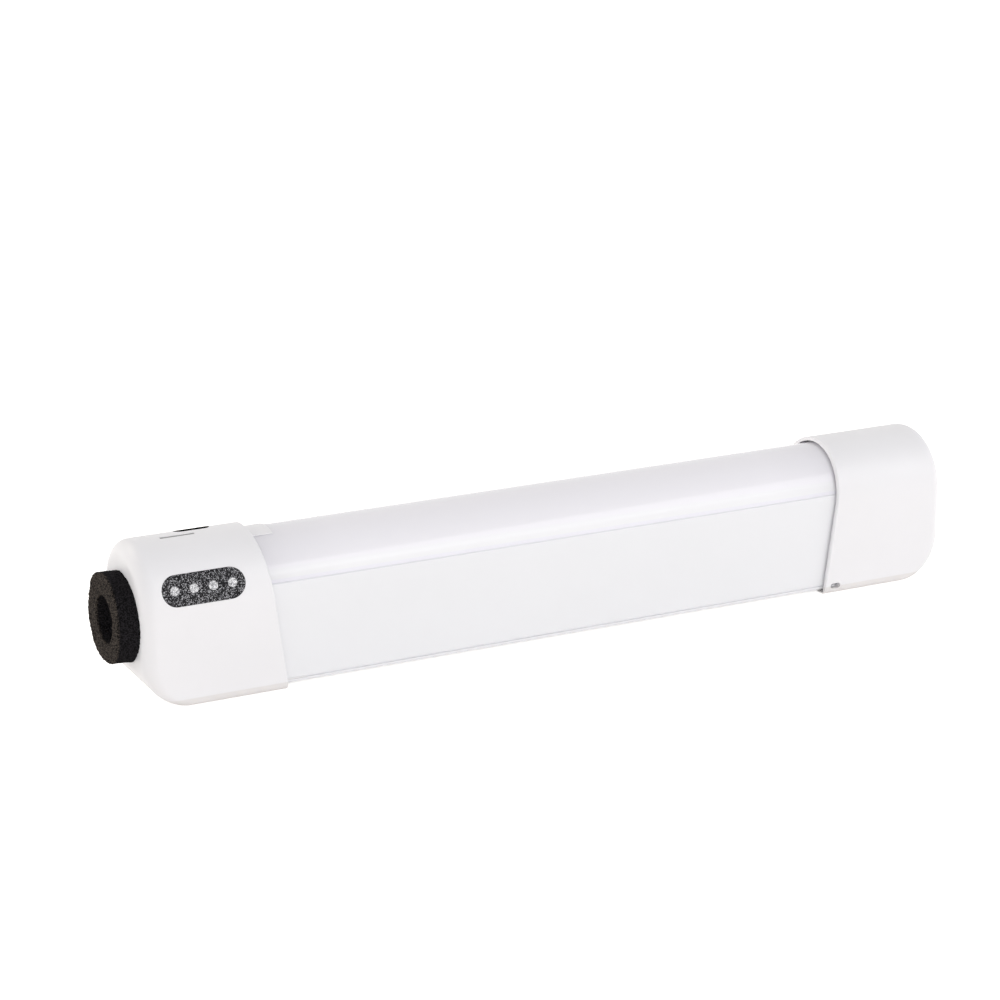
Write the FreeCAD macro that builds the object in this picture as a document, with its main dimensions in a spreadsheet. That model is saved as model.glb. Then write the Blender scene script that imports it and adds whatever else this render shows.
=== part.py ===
import FreeCAD, Part
import math
import os

import Sketcher

# LED light tube, millimetres.
# Row frame: X runs along the tube from the control cap to the plain cap, Y from the gauge side
# to the charging side, Z from the flat underside of the caps up to the crown of the diffuser.
# The origin is under the middle of the whole length, foam ring included.

doc = FreeCAD.newDocument("led_light_tube")
sheet = doc.addObject("Spreadsheet::Sheet", "Sizes")


class Size:
    """A length or angle: its value now, and the expression that binds it to the sheet."""

    def __init__(self, value, text):
        self.value = value
        self.text = text

    def __add__(self, other):
        return combine(self, "+", other, lambda a, b: a + b)

    def __radd__(self, other):
        return combine(other, "+", self, lambda a, b: a + b)

    def __sub__(self, other):
        return combine(self, "-", other, lambda a, b: a - b)

    def __rsub__(self, other):
        return combine(other, "-", self, lambda a, b: a - b)

    def __mul__(self, other):
        return combine(self, "*", other, lambda a, b: a * b)

    def __rmul__(self, other):
        return combine(other, "*", self, lambda a, b: a * b)

    def __truediv__(self, other):
        return combine(self, "/", other, lambda a, b: a / b)

    def __neg__(self):
        return Size(-self.value, f"(0 - {self.text})")


def as_size(amount):
    """Wrap a plain number, so that it can stand in a formula."""
    return amount if isinstance(amount, Size) else Size(float(amount), repr(amount))


def combine(left, sign, right, action):
    """Join two sizes in value and in expression."""
    left, right = as_size(left), as_size(right)
    return Size(action(left.value, right.value), f"({left.text} {sign} {right.text})")


def root(amount):
    return Size(math.sqrt(amount.value), f"sqrt({amount.text})")


def sine(angle):
    return Size(math.sin(math.radians(angle.value)), f"sin({angle.text})")


def cosine(angle):
    return Size(math.cos(math.radians(angle.value)), f"cos({angle.text})")


def tangent(angle):
    return sine(angle) / cosine(angle)


# Whole tube
tube_length = 300  # end face to end face of the caps
body_width = 35  # outer width of channel and diffuser
body_height = 48  # underside of channel to crown of diffuser
slip = 0.15  # clearance between parts that slide together

# Channel
channel_wall = 1.6  # side wall of the extrusion
channel_floor = 2.2  # floor of the extrusion, which takes the screws
shelf_drop = 2.6  # underside of the LED shelf below the crown's axis
shelf_thickness = 1.6  # LED shelf
lip_rise = 3.85  # top edge of the channel's lips above the crown's axis
lip_bevel = 0.35  # bevelled outer edge of the lips
snap_rise = 1.5  # lower edge of the snap groove above the crown's axis
snap_width = 1.2  # height of the snap groove
snap_depth = 0.6  # depth of the snap groove
rail_width = 1.2  # board rail on the shelf
rail_hook = 0.7  # overhang of each rail over the LED board
rail_lip = 0.5  # thickness of the overhang
clip_height = 1.2  # lower edge of the outer clip groove
clip_width = 0.55  # height of the clip groove
clip_depth = 0.5  # depth of the clip groove
foot_radius = 0.8  # rounding of the channel's lower corners

# Diffuser
diffuser_wall = 1.6  # opal skin
seam_gap = 0.15  # fine seam between lip and diffuser
leg_depth = 3.3  # leg of the diffuser below its skin
leg_thickness = 1.3  # leg of the diffuser
barb_height = 0.9  # barb that snaps into the channel

# Caps
cap_proud = 2.0  # how far the caps stand out from the body, at the sides and the crown
foot_proud = 1.4  # how far the caps stand out below the body
cap_wall = 2.0  # wall of the caps
cap_foot_length = 48.5  # length of a cap along its underside
rim_angle = 7.5  # lean of the rims, degrees
heel_radius = 15.6  # large rounding at the lower end of a cap
cap_edge_radius = 4.8  # rounding round the end of a cap
cap_foot_radius = 2.0  # rounding of the lower edges of a cap
rim_bevel = 0.35  # bevelled edge of a cap's rim
channel_cover = 11.5  # end of the channel to the lower end of a rim
gasket_thickness = 1.2  # end gasket
stop_thickness = 1.4  # stop frame inside a cap
stop_depth = 2.2  # stop frame, inwards from the cavity wall
relief_depth = 4  # rim relief, back from the rim
relief_gap = 0.7  # open gap between body and rim
tongue_reach = 1.0  # lower end of the rim to the tip of the crown tongue
tongue_width = 11  # crown tongue
tongue_lift = 0.1  # air between crown tongue and body
tongue_rise = 0.4  # top of the crown tongue above the body
key_reach = 6.9  # lower end of the rim to the tip of a key in the clip groove
key_clearance = 0.07  # air round a key or a tooth in the clip groove

# Grip socket and foam ring in the control cap's end
socket_height = 26.6  # axis of the grip socket over the underside
thread_diameter = 6.4  # bore of the insert, for a quarter-inch stud
insert_diameter = 9.5  # outside of the insert
insert_length = 11  # threaded insert
insert_flange = 11.4  # flange of the insert at its inner end
flange_thickness = 1.2  # flange of the insert
boss_diameter = 13.6  # boss round the insert
foam_diameter = 30  # foam ring
foam_hole = 15.7  # hole of the foam ring
foam_thickness = 6.4  # foam ring
foam_edge = 0.4  # bevelled front edges of the foam ring

# Battery gauge on the near side
window_length = 28  # gauge window along the tube
window_height = 10.2  # gauge window across
window_thickness = 0.5  # gauge window
window_setback = 13.6  # middle of the window to the stop frame
window_angle = 21.3  # lift of the window's middle above level, degrees
dot_diameter = 3.0  # gauge light guide
dot_pitch = 6.46  # spacing of the gauge light guides
dot_length = 5  # gauge light guide, inwards from the window
gauge_board_length = 25  # board behind the gauge
gauge_board_height = 8  # board behind the gauge
gauge_led_size = 1.6  # LED behind each gauge light guide
gauge_led_height = 0.7  # LED behind each gauge light guide
board_thickness = 1.2  # circuit boards

# Button and status light on the crown
button_length = 11.8  # power button along the tube
button_width = 4.6  # power button across
button_setback = 9  # middle of the button to the stop frame
button_offset = 4.2  # middle of the button past the crown line
button_gap = 0.25  # gap round the button
button_travel = 0.6  # travel of the button
button_flange = 0.9  # collar that keeps the button in, all round
button_depth = 3.9  # crown to the top of the button's collar
collar_thickness = 0.9  # collar of the button
plunger_diameter = 3.2  # plunger of the tact switch
plunger_height = 1.6  # plunger above the tact switch at rest
plunger_root = 0.9  # plunger inside the tact switch at rest
switch_size = 6  # tact switch housing
switch_height = 2.6  # tact switch housing
status_length = 11.4  # status light slot along the tube
status_width = 1.0  # status light slot across
status_lead = 6.9  # middle of the slot to the middle of the button, along the tube
status_offset = 1.5  # middle of the slot before the crown line
status_recess = 0.15  # status light below the cap's surface
button_board_length = 24  # board under the button
button_board_width = 17  # board under the button
button_board_setback = 1.4  # button board to the stop frame
button_board_middle = 2.5  # middle of the board past the crown line
board_post_diameter = 4.4  # posts that the button board is screwed to
board_screw_setback = 3  # board corner to a screw, both ways
board_screw_diameter = 1.8  # board screw
board_screw_length = 4.5  # board screw above its head
board_screw_head = 3.4  # board screw head
board_screw_head_height = 1.2  # board screw head

# Main board and charge port low in the control cap
main_board_setback = 0.9  # main board to the stop frame
main_board_length = 18  # main board along the tube
main_board_height = 13.6  # underside of the main board
ledge_reach = 1.8  # board ledge, inwards from the cavity wall
ledge_height = 1.4  # board ledge
coil_diameter = 7  # coil on the main board
coil_height = 3.2  # coil on the main board
coil_offset = 9  # coil to the near side of the middle
charger_size = 5  # charging chip
charger_height = 0.9  # charging chip
driver_size = 6  # LED driver chip
driver_height = 1.4  # LED driver chip
chip_start = 2.5  # end of the main board to its chips
coil_start = 12.5  # end of the main board to the coil and the lead socket
lead_socket_length = 4.6  # lead socket along the tube
lead_socket_width = 8  # lead socket across
lead_socket_height = 4.2  # lead socket
port_width = 8.94  # charge port shell along the tube
port_height = 3.2  # charge port shell
port_length = 7.4  # charge port shell, inwards
port_wall = 0.35  # charge port shell
port_back = 2.4  # solid back of the charge port
port_tongue_width = 6.7  # tongue of the charge port
port_tongue_thickness = 0.7  # tongue of the charge port
port_tongue_setback = 0.6  # mouth of the port to its tongue
port_setback = 1.2  # cap surface to the mouth of the port
plug_width = 12.4  # recess for the plug's grip along the tube
plug_height = 6.6  # recess for the plug's grip

# Light engine
led_board_width = 24  # LED board
led_board_thickness = 1.6  # LED board
led_board_setback = 2  # channel end to the LED board
led_length = 3.5  # LED along the tube
led_width = 2.8  # LED across
led_height = 0.7  # LED
led_pitch = 6.4  # spacing of the LEDs
led_margin = 1.5  # end of the LED board to the first LED's place

# Cells
cell_diameter = 18.4  # cell
cell_length = 65.2  # cell
cell_edge = 0.8  # bevelled end of a cell
cell_pip_diameter = 6  # positive pip
cell_pip_height = 1  # positive pip
contact_thickness = 0.4  # nickel contact
contact_size = 13  # nickel contact
cradle_width = 24  # cell cradle
cradle_base = 1.2  # floor of the cradle
saddle_thickness = 2  # saddle of the cradle
saddle_drop = 1  # top of a saddle below the cells' axis
cradle_end = 1.6  # end wall of the cradle
SADDLES_PER_CELL = 2

# Control cap screws, from below
screw_diameter = 2.5  # cap screw
screw_head_diameter = 4.6  # cap screw head
screw_head_height = 0.55  # cap screw head
screw_length = 2.8  # cap screw above its head
screw_setback = 4  # end of the channel to the cap screws
screw_spacing = 18  # between the two screws
recess_diameter = 5.2  # recess round a screw head
recess_depth = 0.6  # recess round a screw head

# Latches of the plain cap
latch_window_length = 4  # latch window along the tube
latch_window_height = 1.8  # latch window
latch_window_setback = 7  # end of the channel to the latch window
latch_window_level = 2.9  # middle of the latch window over the underside
tooth_length = 2.4  # latch tooth along the tube
tooth_setback = 3  # end of the channel to the latch tooth

# Each size above goes to the sheet under its own name, and stands in the formulas below as a Size
driving = {name: value for name, value in globals().items() if isinstance(value, (int, float))}
for row, (name, value) in enumerate(driving.items(), 1):
    if name.islower():
        sheet.set(f"A{row}", name)
        sheet.set(f"B{row}", str(value))
        sheet.setAlias(f"B{row}", name)
        globals()[name] = Size(value, f"Sizes.{name}")
doc.recompute()

# Worked out from the driving dimensions
half_width = body_width / 2
crown_radius = half_width
axis_height = foot_proud + body_height - half_width
cap_half_width = half_width + cap_proud
cap_height = foot_proud + body_height + cap_proud
cap_radius = cap_half_width
cavity_radius = cap_radius - cap_wall
left_end = -(tube_length - foam_thickness) / 2
right_end = (tube_length + foam_thickness) / 2
channel_inset = cap_foot_length - channel_cover
channel_length = tube_length - channel_inset * 2
channel_start = left_end + channel_inset
rim_slope = tangent(rim_angle)
stop_start = channel_inset - gasket_thickness - stop_thickness
window_centre = stop_start - window_setback
button_centre = stop_start - button_setback
status_centre = button_centre - status_lead
button_board_start = stop_start - button_board_setback - button_board_length
main_board_start = stop_start - main_board_setback - main_board_length
port_centre = main_board_start + main_board_length / 2
screw_centre = channel_inset + screw_setback
stop_grow = cap_proud - cap_wall - stop_depth
key_floor = foot_proud + clip_height + key_clearance
key_height = clip_width - key_clearance * 2
key_root = half_width - clip_depth + key_clearance


# ---------------------------------------------------------------- drawing helpers

def bind(thing, name, size):
    """Tie one property to the sheet."""
    thing.setExpression(name, as_size(size).text)


def place(thing, x=0, y=0, z=0):
    """Put an object at sizes along the three axes."""
    for axis, size in (("x", x), ("y", y), ("z", z)):
        bind(thing, f"Placement.Base.{axis}", size)


def turn(thing, axis, angle):
    """Turn an object about an axis of the row frame."""
    thing.Placement = FreeCAD.Placement(FreeCAD.Vector(), FreeCAD.Rotation(axis, 1))
    bind(thing, "Placement.Rotation.Angle", angle)


ALONG_X = FreeCAD.Rotation(FreeCAD.Vector(0, 1, 0), 90)
X_AXIS = FreeCAD.Vector(1, 0, 0)
Z_AXIS = FreeCAD.Vector(0, 0, 1)


def body(name):
    return doc.addObject("PartDesign::Body", name)


def sketch_on(owner, name, plane, offset=None):
    """New sketch on one of the body's own origin planes."""
    sketch = owner.newObject("Sketcher::SketchObject", name)
    support = [item for item in owner.Origin.OriginFeatures if item.Role == plane][0]
    sketch.AttachmentSupport = [(support, "")]
    sketch.MapMode = "FlatFace"
    if offset is not None:
        bind(sketch, "AttachmentOffset.Base.z", offset)
    return sketch


def hold(sketch, kind, geometry, point, size):
    """Fix one coordinate of a point and tie it to the sheet."""
    if not isinstance(size, Size) and size == 0:
        line = -2 if kind == "DistanceX" else -1
        sketch.addConstraint(Sketcher.Constraint("PointOnObject", geometry, point, line))
        return
    size = as_size(size)
    number = sketch.addConstraint(Sketcher.Constraint(kind, geometry, point, size.value))
    sketch.setExpression(f"Constraints[{number}]", size.text)


def corner(x, y, held="xy"):
    return ("corner", x, y, held)


def arc(x, y, radius, clockwise=False):
    """Arc to the next corner, round a centre."""
    return ("arc", x, y, radius, clockwise)


def vector(x, y):
    return FreeCAD.Vector(as_size(x).value, as_size(y).value, 0)


def outline(sketch, *steps):
    """Closed outline through the corners, with straight sides where no arc is given."""
    corners = [step for step in steps if step[0] == "corner"]
    arcs = {}
    count = -1
    for step in steps:
        if step[0] == "corner":
            count += 1
        else:
            arcs[count] = step
    ends = []
    for number, (_, x, y, _) in enumerate(corners):
        _, next_x, next_y, _ = corners[(number + 1) % len(corners)]
        first, last = vector(x, y), vector(next_x, next_y)
        if number not in arcs:
            geometry = sketch.addGeometry(Part.LineSegment(first, last), False)
            ends.append((geometry, 1, 2))
            continue
        _, centre_x, centre_y, radius, clockwise = arcs[number]
        centre = vector(centre_x, centre_y)
        circle = Part.Circle(centre, Z_AXIS, radius.value)
        start, stop = (last, first) if clockwise else (first, last)
        angles = [math.atan2((point - centre).y, (point - centre).x) for point in (start, stop)]
        if angles[1] <= angles[0]:
            angles[1] += 2 * math.pi
        geometry = sketch.addGeometry(Part.ArcOfCircle(circle, *angles), False)
        ends.append((geometry, 2, 1) if clockwise else (geometry, 1, 2))
        hold(sketch, "DistanceX", geometry, 3, centre_x)
        hold(sketch, "DistanceY", geometry, 3, centre_y)
        number = sketch.addConstraint(Sketcher.Constraint("Radius", geometry, radius.value))
        sketch.setExpression(f"Constraints[{number}]", radius.text)
    for number, (_, x, y, held) in enumerate(corners):
        geometry, begin, _ = ends[number]
        before, _, finish = ends[number - 1]
        sketch.addConstraint(Sketcher.Constraint("Coincident", before, finish, geometry, begin))
        if "x" in held:
            hold(sketch, "DistanceX", geometry, begin, x)
        if "y" in held:
            hold(sketch, "DistanceY", geometry, begin, y)


def oblong(sketch, length, width, x=0, y=0):
    """Slot outline along the sketch's first axis."""
    radius = width / 2
    reach = length / 2 - radius
    outline(sketch,
            corner(x - reach, y - radius, "x"),
            corner(x + reach, y - radius, "x"), arc(x + reach, y, radius),
            corner(x + reach, y + radius, "x"),
            corner(x - reach, y + radius, "x"), arc(x - reach, y, radius))


def rectangle(sketch, low_x, low_y, high_x, high_y):
    outline(sketch, corner(low_x, low_y), corner(high_x, low_y),
            corner(high_x, high_y), corner(low_x, high_y))


def ring(sketch, diameter, x=0, y=0):
    """Circle in a sketch."""
    geometry = sketch.addGeometry(Part.Circle(vector(x, y), Z_AXIS, diameter.value / 2), False)
    hold(sketch, "DistanceX", geometry, 3, x)
    hold(sketch, "DistanceY", geometry, 3, y)
    number = sketch.addConstraint(Sketcher.Constraint("Diameter", geometry, diameter.value))
    sketch.setExpression(f"Constraints[{number}]", diameter.text)


def pad(owner, name, sketch, length, both_ways=False, reverse=False):
    feature = owner.newObject("PartDesign::Pad", name)
    feature.Profile = sketch
    bind(feature, "Length", length)
    if both_ways:
        feature.SideType = "Symmetric"
    feature.Reversed = reverse
    sketch.Visibility = False
    return feature


def pocket(owner, name, sketch, length=None, reverse=False):
    """Pocket of one depth, or right through both ways."""
    feature = owner.newObject("PartDesign::Pocket", name)
    feature.Profile = sketch
    if length is None:
        feature.Type = "ThroughAll"
        feature.SideType = "Symmetric"
    else:
        bind(feature, "Length", length)
        feature.Reversed = reverse
    return feature


def revolve(owner, name, sketch, axis):
    feature = owner.newObject("PartDesign::Revolution", name)
    feature.Profile = sketch
    feature.ReferenceAxis = (sketch, [axis])
    feature.Angle = 360
    return feature


def soften_edges(owner, name, wanted, amount, bevel=False):
    """Round or bevel the edges of the body's tip that the test picks."""
    doc.recompute()
    base = owner.Tip
    picked = [f"Edge{number}" for number, edge in enumerate(base.Shape.Edges, 1) if wanted(edge)]
    feature = owner.newObject("PartDesign::Chamfer" if bevel else "PartDesign::Fillet", name)
    feature.Base = (base, picked)
    bind(feature, "Size" if bevel else "Radius", amount)
    return feature


def trim_edges(kind, name, base, *picks):
    """Round or bevel the edges that each test picks, from one size to another."""
    doc.recompute()
    feature = doc.addObject(kind, name)
    feature.Base = base
    feature.Edges = [(number, first.value, last.value) for wanted, first, last in picks
                     for number, edge in enumerate(base.Shape.Edges, 1) if wanted(edge)]
    return feature


def along(edge):
    """Points along an edge, to tell where it lies."""
    return edge.discretize(5)


def box(name, length, width, height, x, y, z):
    solid = doc.addObject("Part::Box", name)
    for side, size in (("Length", length), ("Width", width), ("Height", height)):
        bind(solid, side, size)
    place(solid, x, y, z)
    return solid


def cylinder(name, diameter, length, x, y, z, rotation=None):
    solid = doc.addObject("Part::Cylinder", name)
    if rotation is not None:
        solid.Placement = FreeCAD.Placement(FreeCAD.Vector(), rotation)
    bind(solid, "Radius", diameter / 2)
    bind(solid, "Height", length)
    place(solid, x, y, z)
    return solid


def fuse(name, *solids):
    joined = doc.addObject("Part::MultiFuse", name)
    joined.Shapes = list(solids)
    return joined


def cut(name, base, tool):
    rest = doc.addObject("Part::Cut", name)
    rest.Base = base
    rest.Tool = tool
    return rest


def common(name, *solids):
    shared = doc.addObject("Part::MultiCommon", name)
    shared.Shapes = list(solids)
    return shared


def group(name, *solids):
    """One node of separate solids."""
    together = doc.addObject("Part::Compound", name)
    together.Links = list(solids)
    return together


nodes = []


def node(thing, label):
    """Name a finished piece."""
    thing.Label = label
    nodes.append(thing)
    return thing


# ---------------------------------------------------------------- channel and diffuser

crown_axis = body_height - half_width
lip_height = crown_axis + lip_rise
snap_height = crown_axis + snap_rise
shelf_height = crown_axis - shelf_drop
shelf_top = shelf_height + shelf_thickness
channel_inner = half_width - channel_wall
rail_inner = led_board_width / 2 + slip
rail_outer = rail_inner + rail_width
rail_top = shelf_top + led_board_thickness + slip + rail_lip


def on_circle(radius, rise):
    """Half width of a circle at a height over its centre."""
    return root(radius * radius - rise * rise)


def mirrored(steps):
    """The same steps on the other side of the middle plane, in reverse order."""
    other = []
    for step in reversed(steps):
        if step[0] == "corner":
            other.append(corner(-as_size(step[1]), *step[2:]))
        else:
            other.append(step)
    return other


def make_channel():
    """Extruded channel: closed box for the cells, shelf for the LEDs, lips for the diffuser."""
    channel = body("Channel")
    section = sketch_on(channel, "ChannelSection", "YZ_Plane")
    clip_top = clip_height + clip_width
    snap_top = snap_height + snap_width
    side = [
        corner(half_width, 0),
        corner(half_width, clip_height),
        corner(half_width - clip_depth, clip_height),
        corner(half_width - clip_depth, clip_top),
        corner(half_width, clip_top),
        corner(half_width, crown_axis, "y"),
        arc(0, crown_axis, crown_radius),
        corner(on_circle(crown_radius, lip_rise - lip_bevel), lip_height - lip_bevel, "y"),
        corner(on_circle(crown_radius, lip_rise) - lip_bevel, lip_height),
        corner(channel_inner, lip_height),
        corner(channel_inner, snap_top),
        corner(channel_inner + snap_depth, snap_top),
        corner(channel_inner + snap_depth, snap_height),
        corner(channel_inner, snap_height),
        corner(channel_inner, shelf_top),
        corner(rail_outer, shelf_top),
        corner(rail_outer, rail_top),
        corner(rail_inner - rail_hook, rail_top),
        corner(rail_inner - rail_hook, rail_top - rail_lip),
        corner(rail_inner, rail_top - rail_lip),
        corner(rail_inner, shelf_top),
    ]
    outline(section, *side, *mirrored(side))
    rectangle(section, -channel_inner, channel_floor, channel_inner, shelf_height)
    pad(channel, "ChannelPad", section, channel_length)
    screws = sketch_on(channel, "ChannelScrewHoles", "XY_Plane")
    for side_sign in (-1, 1):
        ring(screws, screw_diameter + slip, screw_setback, screw_spacing / 2 * side_sign)
    pocket(channel, "ChannelScrewPocket", screws, channel_floor, reverse=True)
    corner_line = half_width.value

    def lower_corner(edge):
        return all(abs(abs(point.y) - corner_line) < 0.01 and abs(point.z) < 0.01
                   for point in along(edge))

    soften_edges(channel, "ChannelFeet", lower_corner, foot_radius)
    place(channel, channel_start, 0, foot_proud)
    return node(channel, "channel")


def make_diffuser():
    """Half-round opal cover with two legs that snap behind the channel's lips."""
    diffuser = body("Diffuser")
    section = sketch_on(diffuser, "DiffuserSection", "YZ_Plane")
    skin_foot = lip_height + seam_gap
    inner_radius = crown_radius - diffuser_wall
    leg_outer = channel_inner - slip
    leg_inner = leg_outer - leg_thickness
    leg_foot = skin_foot - leg_depth
    barb_tip = channel_inner + snap_depth - slip
    barb_top = snap_height + snap_width - slip
    side = [
        corner(leg_inner, leg_foot),
        corner(leg_outer, leg_foot),
        corner(leg_outer, barb_top - barb_height),
        corner(barb_tip, barb_top),
        corner(leg_outer, barb_top),
        corner(leg_outer, skin_foot),
        corner(on_circle(crown_radius, skin_foot - crown_axis), skin_foot, "y"),
    ]
    inner_end = crown_axis + on_circle(inner_radius, leg_inner)
    outline(section, *side, arc(0, crown_axis, crown_radius), *mirrored(side),
            corner(-leg_inner, inner_end, "x"), arc(0, crown_axis, inner_radius, clockwise=True),
            corner(leg_inner, inner_end, "x"))
    pad(diffuser, "DiffuserPad", section, channel_length)
    place(diffuser, channel_start, 0, foot_proud)
    return node(diffuser, "diffuser")


# ---------------------------------------------------------------- caps

def cap_block(name, inset, tail_foot, tail_slope):
    """Block with the cap's outline, half-round crown and large heel, and a test for its edges.

    The end lies at X = inset and the underside at Z = inset. The far side of the block
    leans by tail_slope from tail_foot at the underside's level. The test tells the edges
    round the end, through the heel and along the foot.
    """
    block = body(name)
    side = sketch_on(block, f"{name}Side", "XZ_Plane")
    above = cap_height + 1
    heel = heel_radius
    outline(side,
            corner(heel, inset, "x"),
            corner(tail_foot - tail_slope * inset, inset),
            corner(tail_foot - tail_slope * above, above),
            corner(inset, above),
            corner(inset, heel, "y"), arc(heel, heel, heel - inset))
    pad(block, f"{name}Pad", side, (cap_half_width - inset) * 2, both_ways=True)
    crown = sketch_on(block, f"{name}Crown", "YZ_Plane")
    reach = cap_half_width - inset
    outline(crown,
            corner(reach + 1, axis_height), corner(reach + 1, above + 1),
            corner(-reach - 1, above + 1), corner(-reach - 1, axis_height),
            corner(-reach, axis_height, "y"), arc(0, axis_height, reach, clockwise=True),
            corner(reach, axis_height, "y"))
    pocket(block, f"{name}CrownCut", crown)
    end = as_size(inset).value
    level = axis_height.value
    wall = reach.value

    def kind(edge):
        points = along(edge)
        at_end = all(abs(point.x - end) < 0.01 for point in points)
        beside = all(abs(abs(point.y) - wall) < 0.01 and point.z < level + 0.01 for point in points)
        if at_end and (beside or all(point.z > level - 0.01 for point in points)):
            return "end"
        if not beside or min(point.x for point in points) > heel.value + 0.01:
            return None
        return "foot" if all(abs(point.z - end) < 0.01 for point in points) else "heel"

    return block, kind


def cap_outside(name):
    """Outside of a cap: small rounding below that grows through the heel, and a bevelled rim."""
    block, kind = cap_block(name, 0, cap_foot_length, rim_slope)
    edged = trim_edges("Part::Fillet", f"{name}Edges", block,
                       (lambda edge: kind(edge) == "heel", cap_edge_radius, cap_foot_radius),
                       (lambda edge: kind(edge) == "foot", cap_foot_radius, cap_foot_radius),
                       (lambda edge: kind(edge) == "end", cap_edge_radius, cap_edge_radius))

    def rim(edge):
        return all(abs(point.x + rim_slope.value * point.z - cap_foot_length.value) < 0.01
                   for point in along(edge))

    return trim_edges("Part::Chamfer", f"{name}Rim", edged, (rim, rim_bevel, rim_bevel))


def section_pad(owner, name, grow, start, length):
    """Pad of the body's section, grown on all sides, in a cap's own frame."""
    section = sketch_on(owner, f"{name}Section", "YZ_Plane", offset=start)
    reach = half_width + grow
    outline(section,
            corner(-reach, foot_proud - grow), corner(reach, foot_proud - grow),
            corner(reach, axis_height, "y"), arc(0, axis_height, reach),
            corner(-reach, axis_height, "y"))
    return pad(owner, name, section, length)


def make_cap_shell(name):
    """Moulded cap: outer block less cavity, stop frame, socket for the body and rim relief."""
    outer = cap_outside(f"{name}Outer")
    core, kind = cap_block(f"{name}Cavity", cap_wall, stop_start, 0)
    soften_edges(core, f"{name}CavityEdges", kind, cap_edge_radius - cap_wall, bevel=True)
    past_rim = cap_foot_length + 2
    section_pad(core, f"{name}StopOpening", stop_grow, stop_start, stop_thickness)
    socket_start = stop_start + stop_thickness
    section_pad(core, f"{name}Socket", slip, socket_start, past_rim - socket_start)
    relief_section = body(f"{name}ReliefSection")
    section_pad(relief_section, f"{name}ReliefPad", relief_gap, socket_start, past_rim - socket_start)
    relief_side = body(f"{name}ReliefSide")
    side = sketch_on(relief_side, f"{name}ReliefOutline", "XZ_Plane")
    foot = cap_foot_length - relief_depth
    outline(side, corner(foot, 0), corner(past_rim, 0), corner(past_rim, cap_height),
            corner(foot - rim_slope * cap_height, cap_height))
    pad(relief_side, f"{name}ReliefBand", side, cap_half_width * 2, both_ways=True)
    relief = common(f"{name}Relief", relief_section, relief_side)
    return outer, cut(f"{name}Shell", outer, fuse(f"{name}Hollow", core, relief))


def in_cap(x):
    """A length along the control cap, measured from its end face."""
    return left_end + x


def oblong_prism(name, length, width, depth, grow=0, plane="XY_Plane"):
    """Slot-shaped prism, grown all round, standing on its own plane."""
    prism = body(name)
    sketch = sketch_on(prism, f"{name}Outline", plane)
    oblong(sketch, length + as_size(grow) * 2, width + as_size(grow) * 2)
    pad(prism, f"{name}Pad", sketch, depth)
    return prism


# The gauge looks out square to the crown, window_angle above level on the near side
gauge_turn = 90 - window_angle
window_floor = cap_radius - window_thickness


def face_gauge(thing, x, distance, across=0):
    """Stand an object on the gauge's line of sight, at a distance from the crown's axis."""
    turn(thing, X_AXIS, gauge_turn)
    place(thing, in_cap(x),
          -(cosine(window_angle) * distance) + sine(window_angle) * across,
          axis_height + sine(window_angle) * distance + cosine(window_angle) * across)
    return thing


def gauge_rod(name, diameter, x, start, length):
    rod = doc.addObject("Part::Cylinder", name)
    bind(rod, "Radius", diameter / 2)
    bind(rod, "Height", length)
    return face_gauge(rod, x, start)


def gauge_box(name, length, width, height, x, start):
    """Box centred on the line of sight."""
    solid = doc.addObject("Part::Box", name)
    for side, size in (("Length", length), ("Width", width), ("Height", height)):
        bind(solid, side, size)
    return face_gauge(solid, x - length / 2, start, -(width / 2))


def dot_place(number):
    return window_centre + dot_pitch * (number - 1.5)


post_floor = cap_radius - dot_length - gauge_led_height - slip
post_diameter = dot_pitch - dot_diameter - slip * 4


def make_gauge():
    """Gauge window, light guides, and the board with an LED behind each guide."""
    prism = oblong_prism("WindowPrism", window_length, window_height, cap_wall * 2)
    face_gauge(prism, window_centre, window_floor - cap_wall)
    inside = cylinder("WindowInside", window_floor * 2, window_length + 2,
                      in_cap(window_centre - window_length / 2 - 1), 0, axis_height, ALONG_X)
    holes = [gauge_rod(f"WindowHole{number + 1}", dot_diameter + slip, dot_place(number),
                       window_floor - cap_wall, cap_wall * 2) for number in range(4)]
    skin = cut("WindowSkin", common("WindowPatch", prism, control_outer_placed), inside)
    node(cut("GaugeWindow", skin, fuse("WindowHoles", *holes)), "gauge_window")
    for number in range(4):
        rod = gauge_rod(f"DotRod{number + 1}", dot_diameter, dot_place(number),
                        cap_radius - dot_length, dot_length + 1)
        node(common(f"GaugeDot{number + 1}", rod, control_outer_placed), f"gauge_dot_{number + 1}")
    leds = [gauge_box(f"GaugeLed{number + 1}", gauge_led_size, gauge_led_size, gauge_led_height,
                      dot_place(number), post_floor) for number in range(4)]
    node(group("GaugeLeds", *leds), "gauge_leds")
    board = gauge_box("GaugeBoard", gauge_board_length, gauge_board_height, board_thickness,
                      window_centre, post_floor - board_thickness)
    node(board, "gauge_board")


# Button, tact switch and status light share one level board under the crown
crown_level = cap_height
collar_top = crown_level - button_depth
collar_floor = collar_top - collar_thickness
switch_top = collar_floor - plunger_height
button_board_top = switch_top - switch_height
button_x = in_cap(button_centre)
board_screws_at = ((in_cap(button_board_start + board_screw_setback),
                    button_board_middle + button_board_width / 2 - board_screw_setback),
                   (in_cap(button_board_start + button_board_length - board_screw_setback),
                    button_board_middle - button_board_width / 2 + board_screw_setback))


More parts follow.
